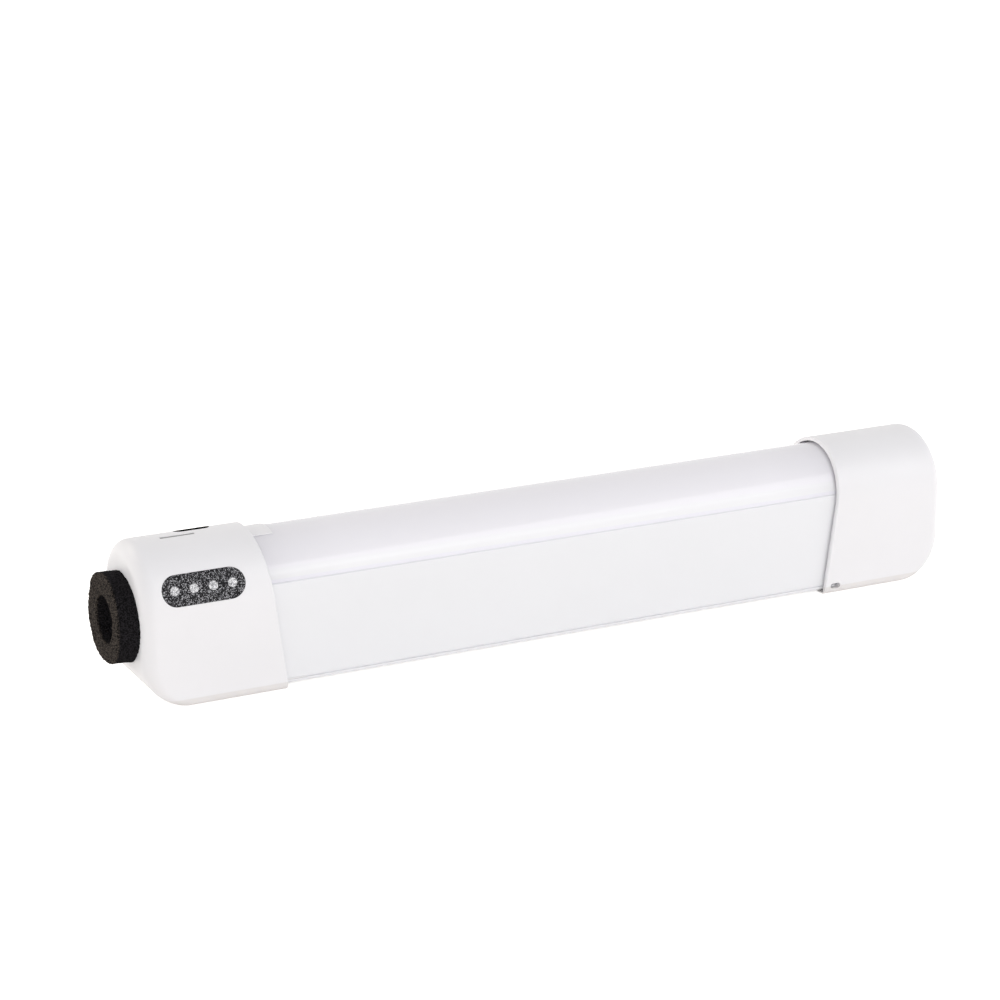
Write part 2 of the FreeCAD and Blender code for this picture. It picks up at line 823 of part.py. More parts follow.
def make_button():
    """Push button kept in by its collar, tact switch under it, status light beside it."""
    button = body("Button")
    collar = sketch_on(button, "ButtonCollar", "XY_Plane")
    oblong(collar, button_length + button_flange * 2, button_width + button_flange * 2)
    pad(button, "ButtonCollarPad", collar, collar_thickness)
    key = sketch_on(button, "ButtonKey", "XY_Plane")
    oblong(key, button_length, button_width)
    pad(button, "ButtonKeyPad", key, collar_thickness + button_depth)
    place(button, button_x, button_offset, collar_floor)
    node(common("ButtonInCrown", button, control_outer_placed), "power_button")
    plunger = cylinder("Plunger", plunger_diameter, plunger_height + plunger_root,
                       button_x, button_offset, switch_top - plunger_root)
    node(plunger, "button_plunger")
    housing = box("SwitchHousing", switch_size, switch_size, switch_height,
                  button_x - switch_size / 2, button_offset - switch_size / 2, button_board_top)
    well = cylinder("SwitchWell", plunger_diameter + slip, plunger_root + button_travel + slip,
                    button_x, button_offset, switch_top - plunger_root - button_travel - slip)
    node(cut("Switch", housing, well), "button_switch")
    bar = box("StatusBlade", status_length, status_width, cap_height,
              in_cap(status_centre - status_length / 2), -status_offset - status_width / 2,
              button_board_top)
    face = cylinder("StatusFace", (cap_radius - status_recess) * 2, channel_inset,
                    left_end, 0, axis_height, ALONG_X)
    node(common("StatusBar", bar, face), "status_bar")
    board = box("ButtonBoardBlank", button_board_length, button_board_width, board_thickness,
                in_cap(button_board_start), button_board_middle - button_board_width / 2,
                button_board_top - board_thickness)
    holes = [cylinder(f"ButtonBoardHole{number + 1}", board_screw_diameter, board_thickness * 3,
                      x, y, button_board_top - board_thickness * 2)
             for number, (x, y) in enumerate(board_screws_at)]
    node(cut("ButtonBoard", board, fuse("ButtonBoardHoles", *holes)), "button_board")


def make_socket():
    """Threaded insert moulded into the end, and the foam ring round its mouth."""
    insert = body("Insert")
    profile = sketch_on(insert, "InsertProfile", "XZ_Plane")
    bore = thread_diameter / 2
    skin = insert_diameter / 2
    flange_start = insert_length - flange_thickness
    outline(profile, corner(0, bore), corner(insert_length, bore),
            corner(insert_length, insert_flange / 2), corner(flange_start, insert_flange / 2),
            corner(flange_start, skin), corner(0, skin))
    revolve(insert, "InsertTurned", profile, "H_Axis")
    place(insert, left_end, 0, socket_height)
    node(insert, "thread_insert")
    foam = body("Foam")
    section = sketch_on(foam, "FoamSection", "YZ_Plane")
    ring(section, foam_diameter)
    ring(section, foam_hole)
    pad(foam, "FoamPad", section, foam_thickness)

    def front_edge(edge):
        return all(abs(point.x) < 0.01 for point in along(edge))

    soften_edges(foam, "FoamEdges", front_edge, foam_edge, bevel=True)
    place(foam, left_end - foam_thickness, 0, socket_height)
    node(foam, "foam_ring")


def make_main_board():
    """Control and charging board on its ledges, with the charge port at its far edge."""
    width = (cavity_radius - slip * 2) * 2
    node(box("MainBoard", main_board_length, width, board_thickness,
             in_cap(main_board_start), -(width / 2), main_board_height), "main_board")
    top = main_board_height + board_thickness
    coil = cylinder("Coil", coil_diameter, coil_height,
                    in_cap(main_board_start + coil_start), -coil_offset, top)
    charger = box("ChargerChip", charger_size, charger_size, charger_height,
                  in_cap(main_board_start + chip_start), -coil_offset, top)
    driver = box("DriverChip", driver_size, driver_size, driver_height,
                 in_cap(main_board_start + chip_start), 0, top)
    socket = box("LeadSocket", lead_socket_length, lead_socket_width, lead_socket_height,
                 in_cap(main_board_start + coil_start - lead_socket_length / 2),
                 -(lead_socket_width / 2), top)
    node(group("BoardParts", coil, charger, driver, socket), "board_parts")
    port = body("ChargePort")
    shell = sketch_on(port, "PortShell", "XZ_Plane")
    oblong(shell, port_width, port_height)
    oblong(shell, port_width - port_wall * 2, port_height - port_wall * 2)
    pad(port, "PortShellPad", shell, port_length, reverse=True)
    back = sketch_on(port, "PortBack", "XZ_Plane")
    oblong(back, port_width, port_height)
    pad(port, "PortBackPad", back, port_back, reverse=True)
    tongue = sketch_on(port, "PortTongue", "XZ_Plane")
    half_tongue = port_tongue_width / 2
    half_thickness = port_tongue_thickness / 2
    rectangle(tongue, -half_tongue, -half_thickness, half_tongue, half_thickness)
    pad(port, "PortTonguePad", tongue, port_length - port_tongue_setback, reverse=True)
    place(port, in_cap(port_centre), port_mouth - port_length, port_level)
    node(port, "charge_port")


port_mouth = cap_half_width - port_setback
port_level = main_board_height + board_thickness + port_height / 2


def facing_side(prism, y):
    """Set a prism drawn on an XZ plane into the charging side, pointing outwards."""
    place(prism, in_cap(port_centre), y, port_level)
    return prism


def control_cap_fittings(outer):
    """Boss, tongues, posts, ribs and ledges inside the control cap."""
    boss = cylinder("SocketBoss", boss_diameter, insert_length + cap_wall,
                    in_cap(cap_wall / 2), 0, socket_height, ALONG_X)
    gauge_posts = [gauge_rod(f"GaugePost{number + 1}", post_diameter,
                             window_centre + dot_pitch * place_along, post_floor,
                             window_floor - post_floor - 0.3)
                   for number, place_along in enumerate((-1, 1))]
    board_posts = [cylinder(f"BoardPost{number + 1}", board_post_diameter, button_depth * 3,
                            x, y, button_board_top)
                   for number, (x, y) in enumerate(board_screws_at)]
    ledges = []
    ledge_width = ledge_reach + cap_wall / 2
    for name, y in (("Near", -cavity_radius - cap_wall / 2), ("Far", cavity_radius - ledge_reach)):
        ledges.append(box(f"{name}Ledge", stop_start + 0.5 - main_board_start, ledge_width,
                          ledge_height, in_cap(main_board_start), y, main_board_height - ledge_height))
        ledges.append(box(f"{name}HoldDown", ledge_height * 2, ledge_width, ledge_height,
                          in_cap(stop_start + 0.5 - ledge_height * 2), y,
                          main_board_height + board_thickness))
    inside = fuse("CapFittings", boss, *gauge_posts, *board_posts, *ledges)
    return common("CapFittingsTrimmed", inside, outer)


def make_tongues(name):
    """Crown tongue that lies on the body beyond the rim, and two keys in the clip grooves."""
    start = stop_start + stop_thickness + 0.4
    skin = body(f"{name}TongueSkin")
    section = sketch_on(skin, f"{name}TongueSection", "YZ_Plane", offset=start)
    lower = half_width + tongue_lift
    upper = half_width + tongue_rise
    half_tongue = tongue_width / 2
    outline(section,
            corner(half_tongue, axis_height + on_circle(lower, half_tongue), "x"),
            corner(half_tongue, axis_height + on_circle(upper, half_tongue), "x"),
            arc(0, axis_height, upper),
            corner(-half_tongue, axis_height + on_circle(upper, half_tongue), "x"),
            corner(-half_tongue, axis_height + on_circle(lower, half_tongue), "x"),
            arc(0, axis_height, lower, clockwise=True))
    pad(skin, f"{name}CrownTongue", section, cap_foot_length + tongue_reach - start)
    place(skin, left_end)
    blade = half_width - key_root
    root_blade = blade + slip * 2
    key_start = channel_inset + slip
    keys = []
    for side, y, root_y in (("Near", -half_width, -half_width - slip * 2), ("Far", key_root, key_root)):
        keys.append(box(f"{name}{side}Key", cap_foot_length + key_reach - key_start, blade, key_height,
                        in_cap(key_start), y, key_floor))
        keys.append(box(f"{name}{side}KeyRoot", cap_foot_length - relief_depth - key_start, root_blade,
                        key_height, in_cap(key_start), root_y, key_floor))
    return [skin, *keys]


def control_cap_openings():
    """Everything that is cut through or into the control cap."""
    prism = oblong_prism("WindowRecessPrism", window_length, window_height, cap_wall * 2, grow=slip / 3)
    face_gauge(prism, window_centre, window_floor - cap_wall)
    inside = cylinder("WindowRecessInside", window_floor * 2, window_length + 3,
                      in_cap(window_centre - window_length / 2 - 1.5), 0, axis_height, ALONG_X)
    tools = [cut("WindowRecess", prism, inside)]
    tools += [gauge_rod(f"DotHole{number + 1}", dot_diameter + slip, dot_place(number),
                        cavity_radius - 2, cap_wall + 4) for number in range(4)]
    button_hole = oblong_prism("ButtonHole", button_length, button_width, cap_wall * 4, grow=button_gap)
    place(button_hole, button_x, button_offset, collar_top)
    tools.append(button_hole)
    tools.append(box("StatusSlot", status_length + slip * 2, status_width + slip * 2, cap_wall * 4,
                     in_cap(status_centre - status_length / 2 - slip),
                     -status_offset - status_width / 2 - slip, collar_top))
    port_hole = oblong_prism("PortHole", port_width, port_height, cap_wall * 3, grow=slip, plane="XZ_Plane")
    tools.append(facing_side(port_hole, cap_half_width + cap_wall))
    plug_recess = oblong_prism("PlugRecess", plug_width, plug_height, port_setback + cap_wall,
                               plane="XZ_Plane")
    tools.append(facing_side(plug_recess, cap_half_width + cap_wall))
    tools.append(cylinder("InsertHole", insert_diameter + slip * 2, insert_length + cap_wall,
                          in_cap(-cap_wall), 0, socket_height, ALONG_X))
    tools.append(cylinder("InsertFlangeHole", insert_flange + slip * 2, flange_thickness + slip * 2,
                          in_cap(insert_length - flange_thickness - slip), 0, socket_height, ALONG_X))
    for side_sign in (-1, 1):
        y = screw_spacing / 2 * side_sign
        tools.append(cylinder(f"ScrewHole{side_sign + 1}", screw_diameter + slip * 2, cap_wall + foot_proud,
                              in_cap(screw_centre), y, -cap_wall / 2))
        tools.append(cylinder(f"ScrewRecess{side_sign + 1}", recess_diameter, recess_depth + 1,
                              in_cap(screw_centre), y, -1))
    for number, (x, y) in enumerate(board_screws_at):
        tools.append(cylinder(f"BoardScrewHole{number + 1}", board_screw_diameter, board_screw_length,
                              x, y, button_board_top - board_thickness))
    return fuse("ControlCapOpenings", *tools)


def make_screws():
    """Cap screws in their recesses, and the button board's screws from below."""
    screws = []
    for side_sign in (-1, 1):
        y = screw_spacing / 2 * side_sign
        head = cylinder(f"CapScrewHead{side_sign + 1}", screw_head_diameter, screw_head_height,
                        in_cap(screw_centre), y, recess_depth - screw_head_height)
        shank = cylinder(f"CapScrewShank{side_sign + 1}", screw_diameter, screw_length,
                         in_cap(screw_centre), y, recess_depth)
        screws.append(fuse(f"CapScrew{side_sign + 1}", head, shank))
    node(group("ControlCapScrews", *screws), "control_cap_screws")
    small = []
    under = button_board_top - board_thickness
    for number, (x, y) in enumerate(board_screws_at):
        head = cylinder(f"BoardScrewHead{number + 1}", board_screw_head, board_screw_head_height,
                        x, y, under - board_screw_head_height)
        shank = cylinder(f"BoardScrewShank{number + 1}", board_screw_diameter,
                         board_screw_length, x, y, under)
        small.append(fuse(f"BoardScrew{number + 1}", head, shank))
    node(group("BoardScrews", *small), "board_screws")


def make_end_cap(outer, shell):
    """Plain cap at the far end: latch windows, latch teeth and a crown tongue."""
    windows = []
    teeth = []
    for name, near, far in (("Near", -cap_half_width - 1, -half_width - slip / 2),
                            ("Far", half_width + slip / 2, cap_half_width + 1)):
        window = oblong_prism(f"{name}LatchWindow", latch_window_length, latch_window_height,
                              far - near, plane="XZ_Plane")
        place(window, channel_inset + latch_window_setback, far, latch_window_level)
        windows.append(window)
    for name, y in (("Near", -cap_half_width + 0.5), ("Far", key_root)):
        teeth.append(box(f"{name}Tooth", tooth_length, cap_half_width - 0.5 - key_root, key_height,
                         channel_inset + tooth_setback - tooth_length / 2, y, key_floor))
    solid = fuse("PlainWithTeeth", cut("PlainWithWindows", shell, fuse("LatchWindows", *windows)), *teeth)
    solid.Placement = FreeCAD.Placement(FreeCAD.Vector(), FreeCAD.Rotation(Z_AXIS, 180))
    place(solid, right_end)
    node(solid, "end_cap")


# ---------------------------------------------------------------- inside the channel

def section_frame(name, start):
    """Rubber frame between a stop frame and the channel's end."""
    frame = body(name)
    sketch = sketch_on(frame, f"{name}Section", "YZ_Plane")
    for grow in (0, stop_grow):
        reach = half_width + grow
        floor = foot_proud - grow
        outline(sketch,
                corner(-reach, floor), corner(reach, floor),
                corner(reach, axis_height, "y"), arc(0, axis_height, reach),
                corner(-reach, axis_height, "y"))
    pad(frame, f"{name}Pad", sketch, gasket_thickness)
    place(frame, start)
    return frame


led_board_length = channel_length - led_board_setback * 2
led_count = int((led_board_length - led_margin * 2).value / led_pitch.value)


def make_light_engine():
    """LED board under the rails' hooks, with its row of LEDs."""
    level = foot_proud + shelf_top
    node(box("LedBoard", led_board_length, led_board_width, led_board_thickness,
             channel_start + led_board_setback, -(led_board_width / 2), level), "led_board")
    middle = channel_start + channel_length / 2
    leds = [box(f"Led{number + 1}", led_length, led_width, led_height,
                middle + led_pitch * (number - (led_count - 1) / 2) - led_length / 2,
                -(led_width / 2), level + led_board_thickness)
            for number in range(led_count)]
    node(group("Leds", *leds), "led_emitters")


cell_step = cell_length + cell_pip_height
cradle_ends = (contact_thickness + cradle_end) * 2
cell_count = int((channel_length - cradle_ends).value / cell_step.value)
cell_row = cell_step * cell_count
cradle_length = cell_row + cradle_ends
cradle_start = channel_start + (channel_length - cradle_length) / 2
cells_start = cradle_start + cradle_end + contact_thickness
cell_seat = cell_diameter / 2 + slip
cell_axis = foot_proud + channel_floor + cradle_base + cell_seat


def make_cells():
    """Cells in a row in a saddle cradle, between two nickel contacts."""
    for number in range(cell_count):
        cell = body(f"Cell{number + 1}")
        profile = sketch_on(cell, f"Cell{number + 1}Profile", "XZ_Plane")
        can = cell_diameter / 2
        outline(profile, corner(0, 0), corner(cell_step, 0), corner(cell_step, cell_pip_diameter / 2),
                corner(cell_length, cell_pip_diameter / 2), corner(cell_length, can - cell_edge),
                corner(cell_length - cell_edge, can), corner(cell_edge, can), corner(0, can - cell_edge))
        revolve(cell, f"Cell{number + 1}Can", profile, "H_Axis")
        place(cell, cells_start + cell_step * number, 0, cell_axis)
        node(cell, f"cell_{number + 1}")
    cradle = body("Cradle")
    base = sketch_on(cradle, "CradleBase", "XY_Plane")
    rectangle(base, 0, -(cradle_width / 2), cradle_length, cradle_width / 2)
    pad(cradle, "CradleBasePad", base, cradle_base)
    axis = cradle_base + cell_seat
    saddle_height = axis - saddle_drop
    for name, start in (("Front", 0), ("Rear", cradle_length - cradle_end)):
        wall = sketch_on(cradle, f"Cradle{name}", "YZ_Plane", offset=start)
        rectangle(wall, -(cradle_width / 2), 0, cradle_width / 2, axis + contact_size / 2)
        pad(cradle, f"Cradle{name}Wall", wall, cradle_end)
    pitch = cell_step / SADDLES_PER_CELL
    first = cradle_end + contact_thickness + pitch / 2 - saddle_thickness / 2
    for number in range(cell_count * SADDLES_PER_CELL):
        saddle = sketch_on(cradle, f"Saddle{number + 1}", "YZ_Plane", offset=first + pitch * number)
        mouth = on_circle(cell_seat, saddle_drop)
        outline(saddle, corner(-(cradle_width / 2), 0), corner(cradle_width / 2, 0),
                corner(cradle_width / 2, saddle_height), corner(mouth, saddle_height, "y"),
                arc(0, axis, cell_seat, clockwise=True), corner(-mouth, saddle_height, "y"),
                corner(-(cradle_width / 2), saddle_height))
        pad(cradle, f"Saddle{number + 1}Pad", saddle, saddle_thickness)
    place(cradle, cradle_start, 0, foot_proud + channel_floor)
    node(cradle, "cell_cradle")
    for name, x in (("front", cells_start - contact_thickness), ("rear", cells_start + cell_row)):
        node(box(f"Contact{name}", contact_thickness, contact_size, contact_size,
                 x, -(contact_size / 2), cell_axis - contact_size / 2), f"contact_{name}")


# ---------------------------------------------------------------- assembly

control_outer, control_shell = make_cap_shell("Control")
plain_outer, plain_shell = make_cap_shell("Plain")
control_outer_placed = doc.addObject("Part::Compound", "ControlOuterPlaced")
control_outer_placed.Links = [control_outer]
place(control_outer_placed, left_end)
place(control_shell, left_end)
control_solid = fuse("ControlCapSolid", control_shell, control_cap_fittings(control_outer_placed),
                     *make_tongues("Control"))
node(cut("ControlCap", control_solid, control_cap_openings()), "control_cap")
make_end_cap(plain_outer, plain_shell)
make_channel()
make_diffuser()
make_gauge()
make_button()
make_socket()
make_main_board()
make_screws()
node(section_frame("FrontGasket", channel_start - gasket_thickness), "front_gasket")
node(section_frame("RearGasket", channel_start + channel_length), "rear_gasket")
make_light_engine()
make_cells()
doc.recompute()

faulty = [thing.Name for thing in doc.Objects if {"Invalid", "Error"} & set(thing.State)]
faulty += [piece.Label for piece in nodes if piece.Shape.isNull() or not piece.Shape.isValid()]
if faulty:
    raise RuntimeError("not built: " + ", ".join(faulty))
os.makedirs("parts", exist_ok=True)
for piece in nodes:
    piece.Shape.exportStep(f"parts/{piece.Label}.step")
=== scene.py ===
import math

import bpy
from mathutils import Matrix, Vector


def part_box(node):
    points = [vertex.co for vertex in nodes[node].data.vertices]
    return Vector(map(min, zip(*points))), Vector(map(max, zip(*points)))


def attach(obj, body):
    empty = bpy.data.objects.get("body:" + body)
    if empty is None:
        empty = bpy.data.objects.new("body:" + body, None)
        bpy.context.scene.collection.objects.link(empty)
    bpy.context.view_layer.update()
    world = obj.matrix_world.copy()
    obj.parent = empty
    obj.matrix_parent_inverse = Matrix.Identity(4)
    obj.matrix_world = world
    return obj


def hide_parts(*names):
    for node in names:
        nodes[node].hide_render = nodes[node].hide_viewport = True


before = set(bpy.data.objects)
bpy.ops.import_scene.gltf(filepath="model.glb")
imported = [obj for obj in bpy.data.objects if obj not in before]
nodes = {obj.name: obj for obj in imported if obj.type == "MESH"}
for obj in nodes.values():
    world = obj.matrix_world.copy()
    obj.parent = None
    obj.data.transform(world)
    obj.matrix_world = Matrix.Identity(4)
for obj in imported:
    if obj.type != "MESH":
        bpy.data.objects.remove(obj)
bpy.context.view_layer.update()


# ------------------------------------------------------------ floor and surround
# The tube lies on a plain pale floor in a white surround, neither of which is part of it.
# Both are plain white to the eye and in reflections; the floor still darkens under the tube.

MM = 0.001
FLOOR_SIZE = 9
FLOOR_DROP = 0.02 * MM
FLOOR_SHADE = (0.93, 0.905, 0.870, 1)
FLOOR_ROUGHNESS = 0.9
FLOOR_LIFT = 0.72
HORIZON_STRENGTH = 1.89
ZENITH_STRENGTH = 0.02


def open_material(name):
    """New material with its Principled shader, its node list and its link list."""
    material = bpy.data.materials.new(name)
    material.use_nodes = True
    tree = material.node_tree
    return material, tree.nodes["Principled BSDF"], tree.nodes, tree.links


def feed(links, target, value):
    """Feed an input with another node's output or with a plain value."""
    if hasattr(value, "is_output"):
        links.new(value, target)
    else:
        target.default_value = value


def math_node(made, links, operation, first, second):
    """Math node; each of its two values is an output or a plain number."""
    node = made.new("ShaderNodeMath")
    node.operation = operation
    feed(links, node.inputs[0], first)
    feed(links, node.inputs[1], second)
    return node.outputs[0]


def remap(made, links, value, start, end, low_result=0, high_result=1):
    """Carry start and end over to the two results; values beyond them stay at the results."""
    node = made.new("ShaderNodeMapRange")
    feed(links, node.inputs["Value"], value)
    feed(links, node.inputs["From Min"], start)
    feed(links, node.inputs["From Max"], end)
    feed(links, node.inputs["To Min"], low_result)
    feed(links, node.inputs["To Max"], high_result)
    return node.outputs[0]


def seen_directly(made, links):
    """1 for what the eye, a mirror or glass sees, 0 for light that falls on other things."""
    path = made.new("ShaderNodeLightPath")
    mirrored = math_node(made, links, "MAXIMUM", path.outputs["Is Glossy Ray"],
                         path.outputs["Is Transmission Ray"])
    return math_node(made, links, "MAXIMUM", path.outputs["Is Camera Ray"], mirrored)


def mix_by(made, links, amount, off, on, target):
    """Show one shader where the amount is 0 and another where it is 1."""
    mix = made.new("ShaderNodeMixShader")
    links.new(amount, mix.inputs["Fac"])
    links.new(off, mix.inputs[1])
    links.new(on, mix.inputs[2])
    links.new(mix.outputs[0], target)


bpy.ops.object.select_all(action="DESELECT")
bpy.ops.mesh.primitive_plane_add(size=FLOOR_SIZE, location=(0, 0, -FLOOR_DROP))
bpy.ops.object.transform_apply(location=True)
floor = bpy.context.object
floor.name = "floor"
floor_paint, shader, made, links = open_material("floor_paint")
shader.inputs["Base Color"].default_value = FLOOR_SHADE
shader.inputs["Roughness"].default_value = FLOOR_ROUGHNESS
shader.inputs["Specular IOR Level"].default_value = 0
lift = made.new("ShaderNodeEmission")
lift.inputs["Strength"].default_value = FLOOR_LIFT
lifted = made.new("ShaderNodeAddShader")
links.new(shader.outputs[0], lifted.inputs[0])
links.new(lift.outputs[0], lifted.inputs[1])
mix_by(made, links, seen_directly(made, links), shader.outputs[0], lifted.outputs[0],
       made["Material Output"].inputs["Surface"])
floor.data.materials.append(floor_paint)

surround = bpy.data.worlds.new("surround")
surround.use_nodes = True
made, links = surround.node_tree.nodes, surround.node_tree.links
where = made.new("ShaderNodeTexCoord")
apart = made.new("ShaderNodeSeparateXYZ")
links.new(where.outputs["Generated"], apart.inputs[0])
sky = made["Background"]
sky.inputs["Color"].default_value = (1, 1, 1, 1)
links.new(remap(made, links, apart.outputs["Z"], 0, 1, HORIZON_STRENGTH, ZENITH_STRENGTH),
          sky.inputs["Strength"])
backdrop = made.new("ShaderNodeBackground")
backdrop.inputs["Color"].default_value = (1, 1, 1, 1)
mix_by(made, links, seen_directly(made, links), sky.outputs[0], backdrop.outputs[0],
       made["World Output"].inputs["Surface"])
bpy.context.scene.world = surround


# ------------------------------------------------------------ channel
# Extruded aluminium trough with a white powder coat, cut to length with a saw.
# The coat is satin, with a faint orange peel and slight drifts of tint along its run; its top lip has a
# painted highlight.

COAT_TINTS = ((0.876, 0.880, 0.908), (0.868, 0.872, 0.900))
BODY_TONE = (0.96, 0.96, 0.96)
# painted highlight: the base colour turns lighter along the channel's top lip, where the lip catches the
# light
LIP_HIGHLIGHT_TONE = (1.0, 1.0, 1.0)
LIP_HIGHLIGHT_TONES = ((35.0 * MM, BODY_TONE), (35.3 * MM, LIP_HIGHLIGHT_TONE))
# the broad part of the grain has this share of the fine part's scale
BROAD_SCALE = 0.045
# nearly all values of a noise lie between these two
NOISE_LOW = 0.35
NOISE_HIGH = 0.65


def new_group(name, inputs, outputs):
    """Node group with its sockets, its node list, its link list, and its two ends."""
    group = bpy.data.node_groups.new(name, "ShaderNodeTree")
    for label, kind, value in inputs:
        socket = group.interface.new_socket(name=label, in_out="INPUT", socket_type=kind)
        socket.default_value = value
    for label, kind in outputs:
        group.interface.new_socket(name=label, in_out="OUTPUT", socket_type=kind)
    made = group.nodes
    return group, made, group.links, made.new("NodeGroupInput"), made.new("NodeGroupOutput")


def noise(made, links, where, scale, detail):
    """Cloudy noise, as a value round the middle of 0 to 1."""
    node = made.new("ShaderNodeTexNoise")
    node.inputs["Detail"].default_value = detail
    feed(links, node.inputs["Scale"], scale)
    links.new(where, node.inputs["Vector"])
    return node.outputs["Fac"]


def colour_mix(made, links, amount, first, second, blend="MIX"):
    """The first colour where the amount is 0, the second blended with it where it is 1."""
    mix = made.new("ShaderNodeMix")
    mix.data_type = "RGBA"
    mix.blend_type = blend
    feed(links, mix.inputs["Factor"], amount)
    feed(links, mix.inputs["A"], first)
    feed(links, mix.inputs["B"], second)
    return mix.outputs["Result"]


# Grain: fine texture of a coat, a moulding or a casting, as a height and as a change of gloss
grain_group, made, links, entry, leave = new_group(
    "grain",
    [("Vector", "NodeSocketVector", (0, 0, 0)), ("Scale", "NodeSocketFloat", 1000.0),
     ("Gloss Low", "NodeSocketFloat", 0.4), ("Gloss High", "NodeSocketFloat", 0.5)],
    [("Height", "NodeSocketFloat"), ("Roughness", "NodeSocketFloat")])
broad_scale = math_node(made, links, "MULTIPLY", entry.outputs["Scale"], BROAD_SCALE)
fine = noise(made, links, entry.outputs["Vector"], entry.outputs["Scale"], 3)
broad = noise(made, links, entry.outputs["Vector"], broad_scale, 2)
blend = math_node(made, links, "ADD", math_node(made, links, "MULTIPLY", fine, 0.5),
                  math_node(made, links, "MULTIPLY", broad, 0.5))
links.new(fine, leave.inputs["Height"])
links.new(remap(made, links, blend, NOISE_LOW, NOISE_HIGH, entry.outputs["Gloss Low"],
                entry.outputs["Gloss High"]), leave.inputs["Roughness"])

# Tint drift: slow wander between two near colours
drift_group, made, links, entry, leave = new_group(
    "tint_drift",
    [("Vector", "NodeSocketVector", (0, 0, 0)), ("Scale", "NodeSocketFloat", 40.0),
     ("First", "NodeSocketColor", (1, 1, 1, 1)), ("Second", "NodeSocketColor", (1, 1, 1, 1))],
    [("Color", "NodeSocketColor")])
wander = noise(made, links, entry.outputs["Vector"], entry.outputs["Scale"], 3)
steep = remap(made, links, wander, NOISE_LOW, NOISE_HIGH)
links.new(colour_mix(made, links, steep, entry.outputs["First"], entry.outputs["Second"]),
          leave.inputs["Color"])


def place_group(made, links, group, vector, **values):
    """Put a node group in a material, fed with a position and its own values."""
    node = made.new("ShaderNodeGroup")
    node.node_tree = group
    links.new(vector, node.inputs["Vector"])
    for name, value in values.items():
        node.inputs[name.replace("_", " ")].default_value = value
    return node


def stretched(made, links, stretch):
    """Object position, scaled per axis: a small number draws the pattern out along that axis."""
    where = made.new("ShaderNodeTexCoord")
    mapping = made.new("ShaderNodeMapping")
    mapping.inputs["Scale"].default_value = stretch
    links.new(where.outputs["Object"], mapping.inputs["Vector"])
    return mapping.outputs[0]


def rough_surface(made, links, shader, height, strength, depth):
    """Turn a height into relief of that depth, in metres."""
    bump = made.new("ShaderNodeBump")
    bump.inputs["Strength"].default_value = strength
    bump.inputs["Distance"].default_value = depth
    links.new(height, bump.inputs["Height"])
    links.new(bump.outputs["Normal"], shader.inputs["Normal"])


def finish(name, tints, gloss, grain, relief, drift=40.0, metallic=0.0, specular=0.5,
           stretch=(1, 1, 1), strength=0.5):
    """Finish with tint drift, grain and relief. Gives the material, its shader, nodes and links.

    gloss is the range of roughness, grain the patterns per metre, relief a depth in metres.
    """
    material, shader, made, links = open_material(name)
    shader.inputs["Metallic"].default_value = metallic
    shader.inputs["Specular IOR Level"].default_value = specular
    where = stretched(made, links, stretch)
    tint = place_group(made, links, drift_group, where, Scale=drift,
                       First=(*tints[0], 1), Second=(*tints[1], 1))
    links.new(tint.outputs["Color"], shader.inputs["Base Color"])
    texture = place_group(made, links, grain_group, where, Scale=grain,
                          Gloss_Low=gloss[0], Gloss_High=gloss[1])
    links.new(texture.outputs["Roughness"], shader.inputs["Roughness"])
    rough_surface(made, links, shader, texture.outputs["Height"], strength, relief)
    return material, shader, made, links


def dress(material, *names):
    """Give CAD nodes a finish in place of their plain one."""
    for name in names:
        mesh = nodes[name].data
        mesh.materials.clear()
        mesh.materials.append(material)


def object_place(made, links):
    """The place on the object, as separate X, Y and Z sockets."""
    where = made.new("ShaderNodeTexCoord")
    apart = made.new("ShaderNodeSeparateXYZ")
    links.new(where.outputs["Object"], apart.inputs[0])
    return apart.outputs


def ramp_along(made, links, axis, stops):
    """Colour that changes with the place along an axis: stops are (place in metres, colour).

    Beyond the first and the last stop the colour stays as it is there.
    """
    first, last = stops[0][0], stops[-1][0]
    ramp = made.new("ShaderNodeValToRGB")
    stop_list = ramp.color_ramp.elements
    for place, colour in stops[1:-1]:
        stop_list.new((place - first) / (last - first)).color = (*colour, 1)
    stop_list[0].color = (*stops[0][1], 1)
    stop_list[len(stops) - 1].color = (*stops[-1][1], 1)
    links.new(remap(made, links, object_place(made, links)[axis], first, last), ramp.inputs["Fac"])
    return ramp.outputs["Color"]


def tint_by(made, links, shader, colour):
    """Multiply what already feeds the base colour by another colour."""
    before = shader.inputs["Base Color"].links[0].from_socket
    links.new(colour_mix(made, links, 1, before, colour, "MULTIPLY"), shader.inputs["Base Color"])


powder_coat, shader, made, links = finish("powder_coat", COAT_TINTS, gloss=(0.36, 0.44), grain=1400,
                                          relief=0.012 * MM)
# painted highlight along the top lip
tint_by(made, links, shader, ramp_along(made, links, "Z", LIP_HIGHLIGHT_TONES))
dress(powder_coat, "channel")


# ------------------------------------------------------------ diffuser
# Half-round cover extruded in opal plastic, milky right through, snapped into the channel.
# Its skin is smooth and glossy, with faint draw lines along the extrusion; its colour carries painted
# highlight and painted shade.

OPAL_TINTS = ((1.0, 1.0, 1.0), (0.985, 0.985, 0.985))
DOME_TONE = (0.880, 0.866, 0.910)
SHOULDER_HIGHLIGHT_TONE = (0.908, 0.908, 0.932)
BEND_TONE = (0.872, 0.869, 0.896)
SEAM_SHADOW_TONE = (0.885, 0.876, 0.940)
OPEN_TONE = (1.0, 1.0, 1.0)
NEAR_CAP_SHADE_TONE = (0.955, 0.955, 0.958)
UNDER_CAP_SHADE_TONE = (0.91, 0.91, 0.915)
# painted reflection: a lighter band on the shoulder, over a painted shadow line just above the seam
HIGHLIGHT_BAND_TONES = ((36.8 * MM, SEAM_SHADOW_TONE), (37.3 * MM, SHOULDER_HIGHLIGHT_TONE), (38.8 * MM, SHOULDER_HIGHLIGHT_TONE),
                (39.9 * MM, BEND_TONE), (40.7 * MM, DOME_TONE))
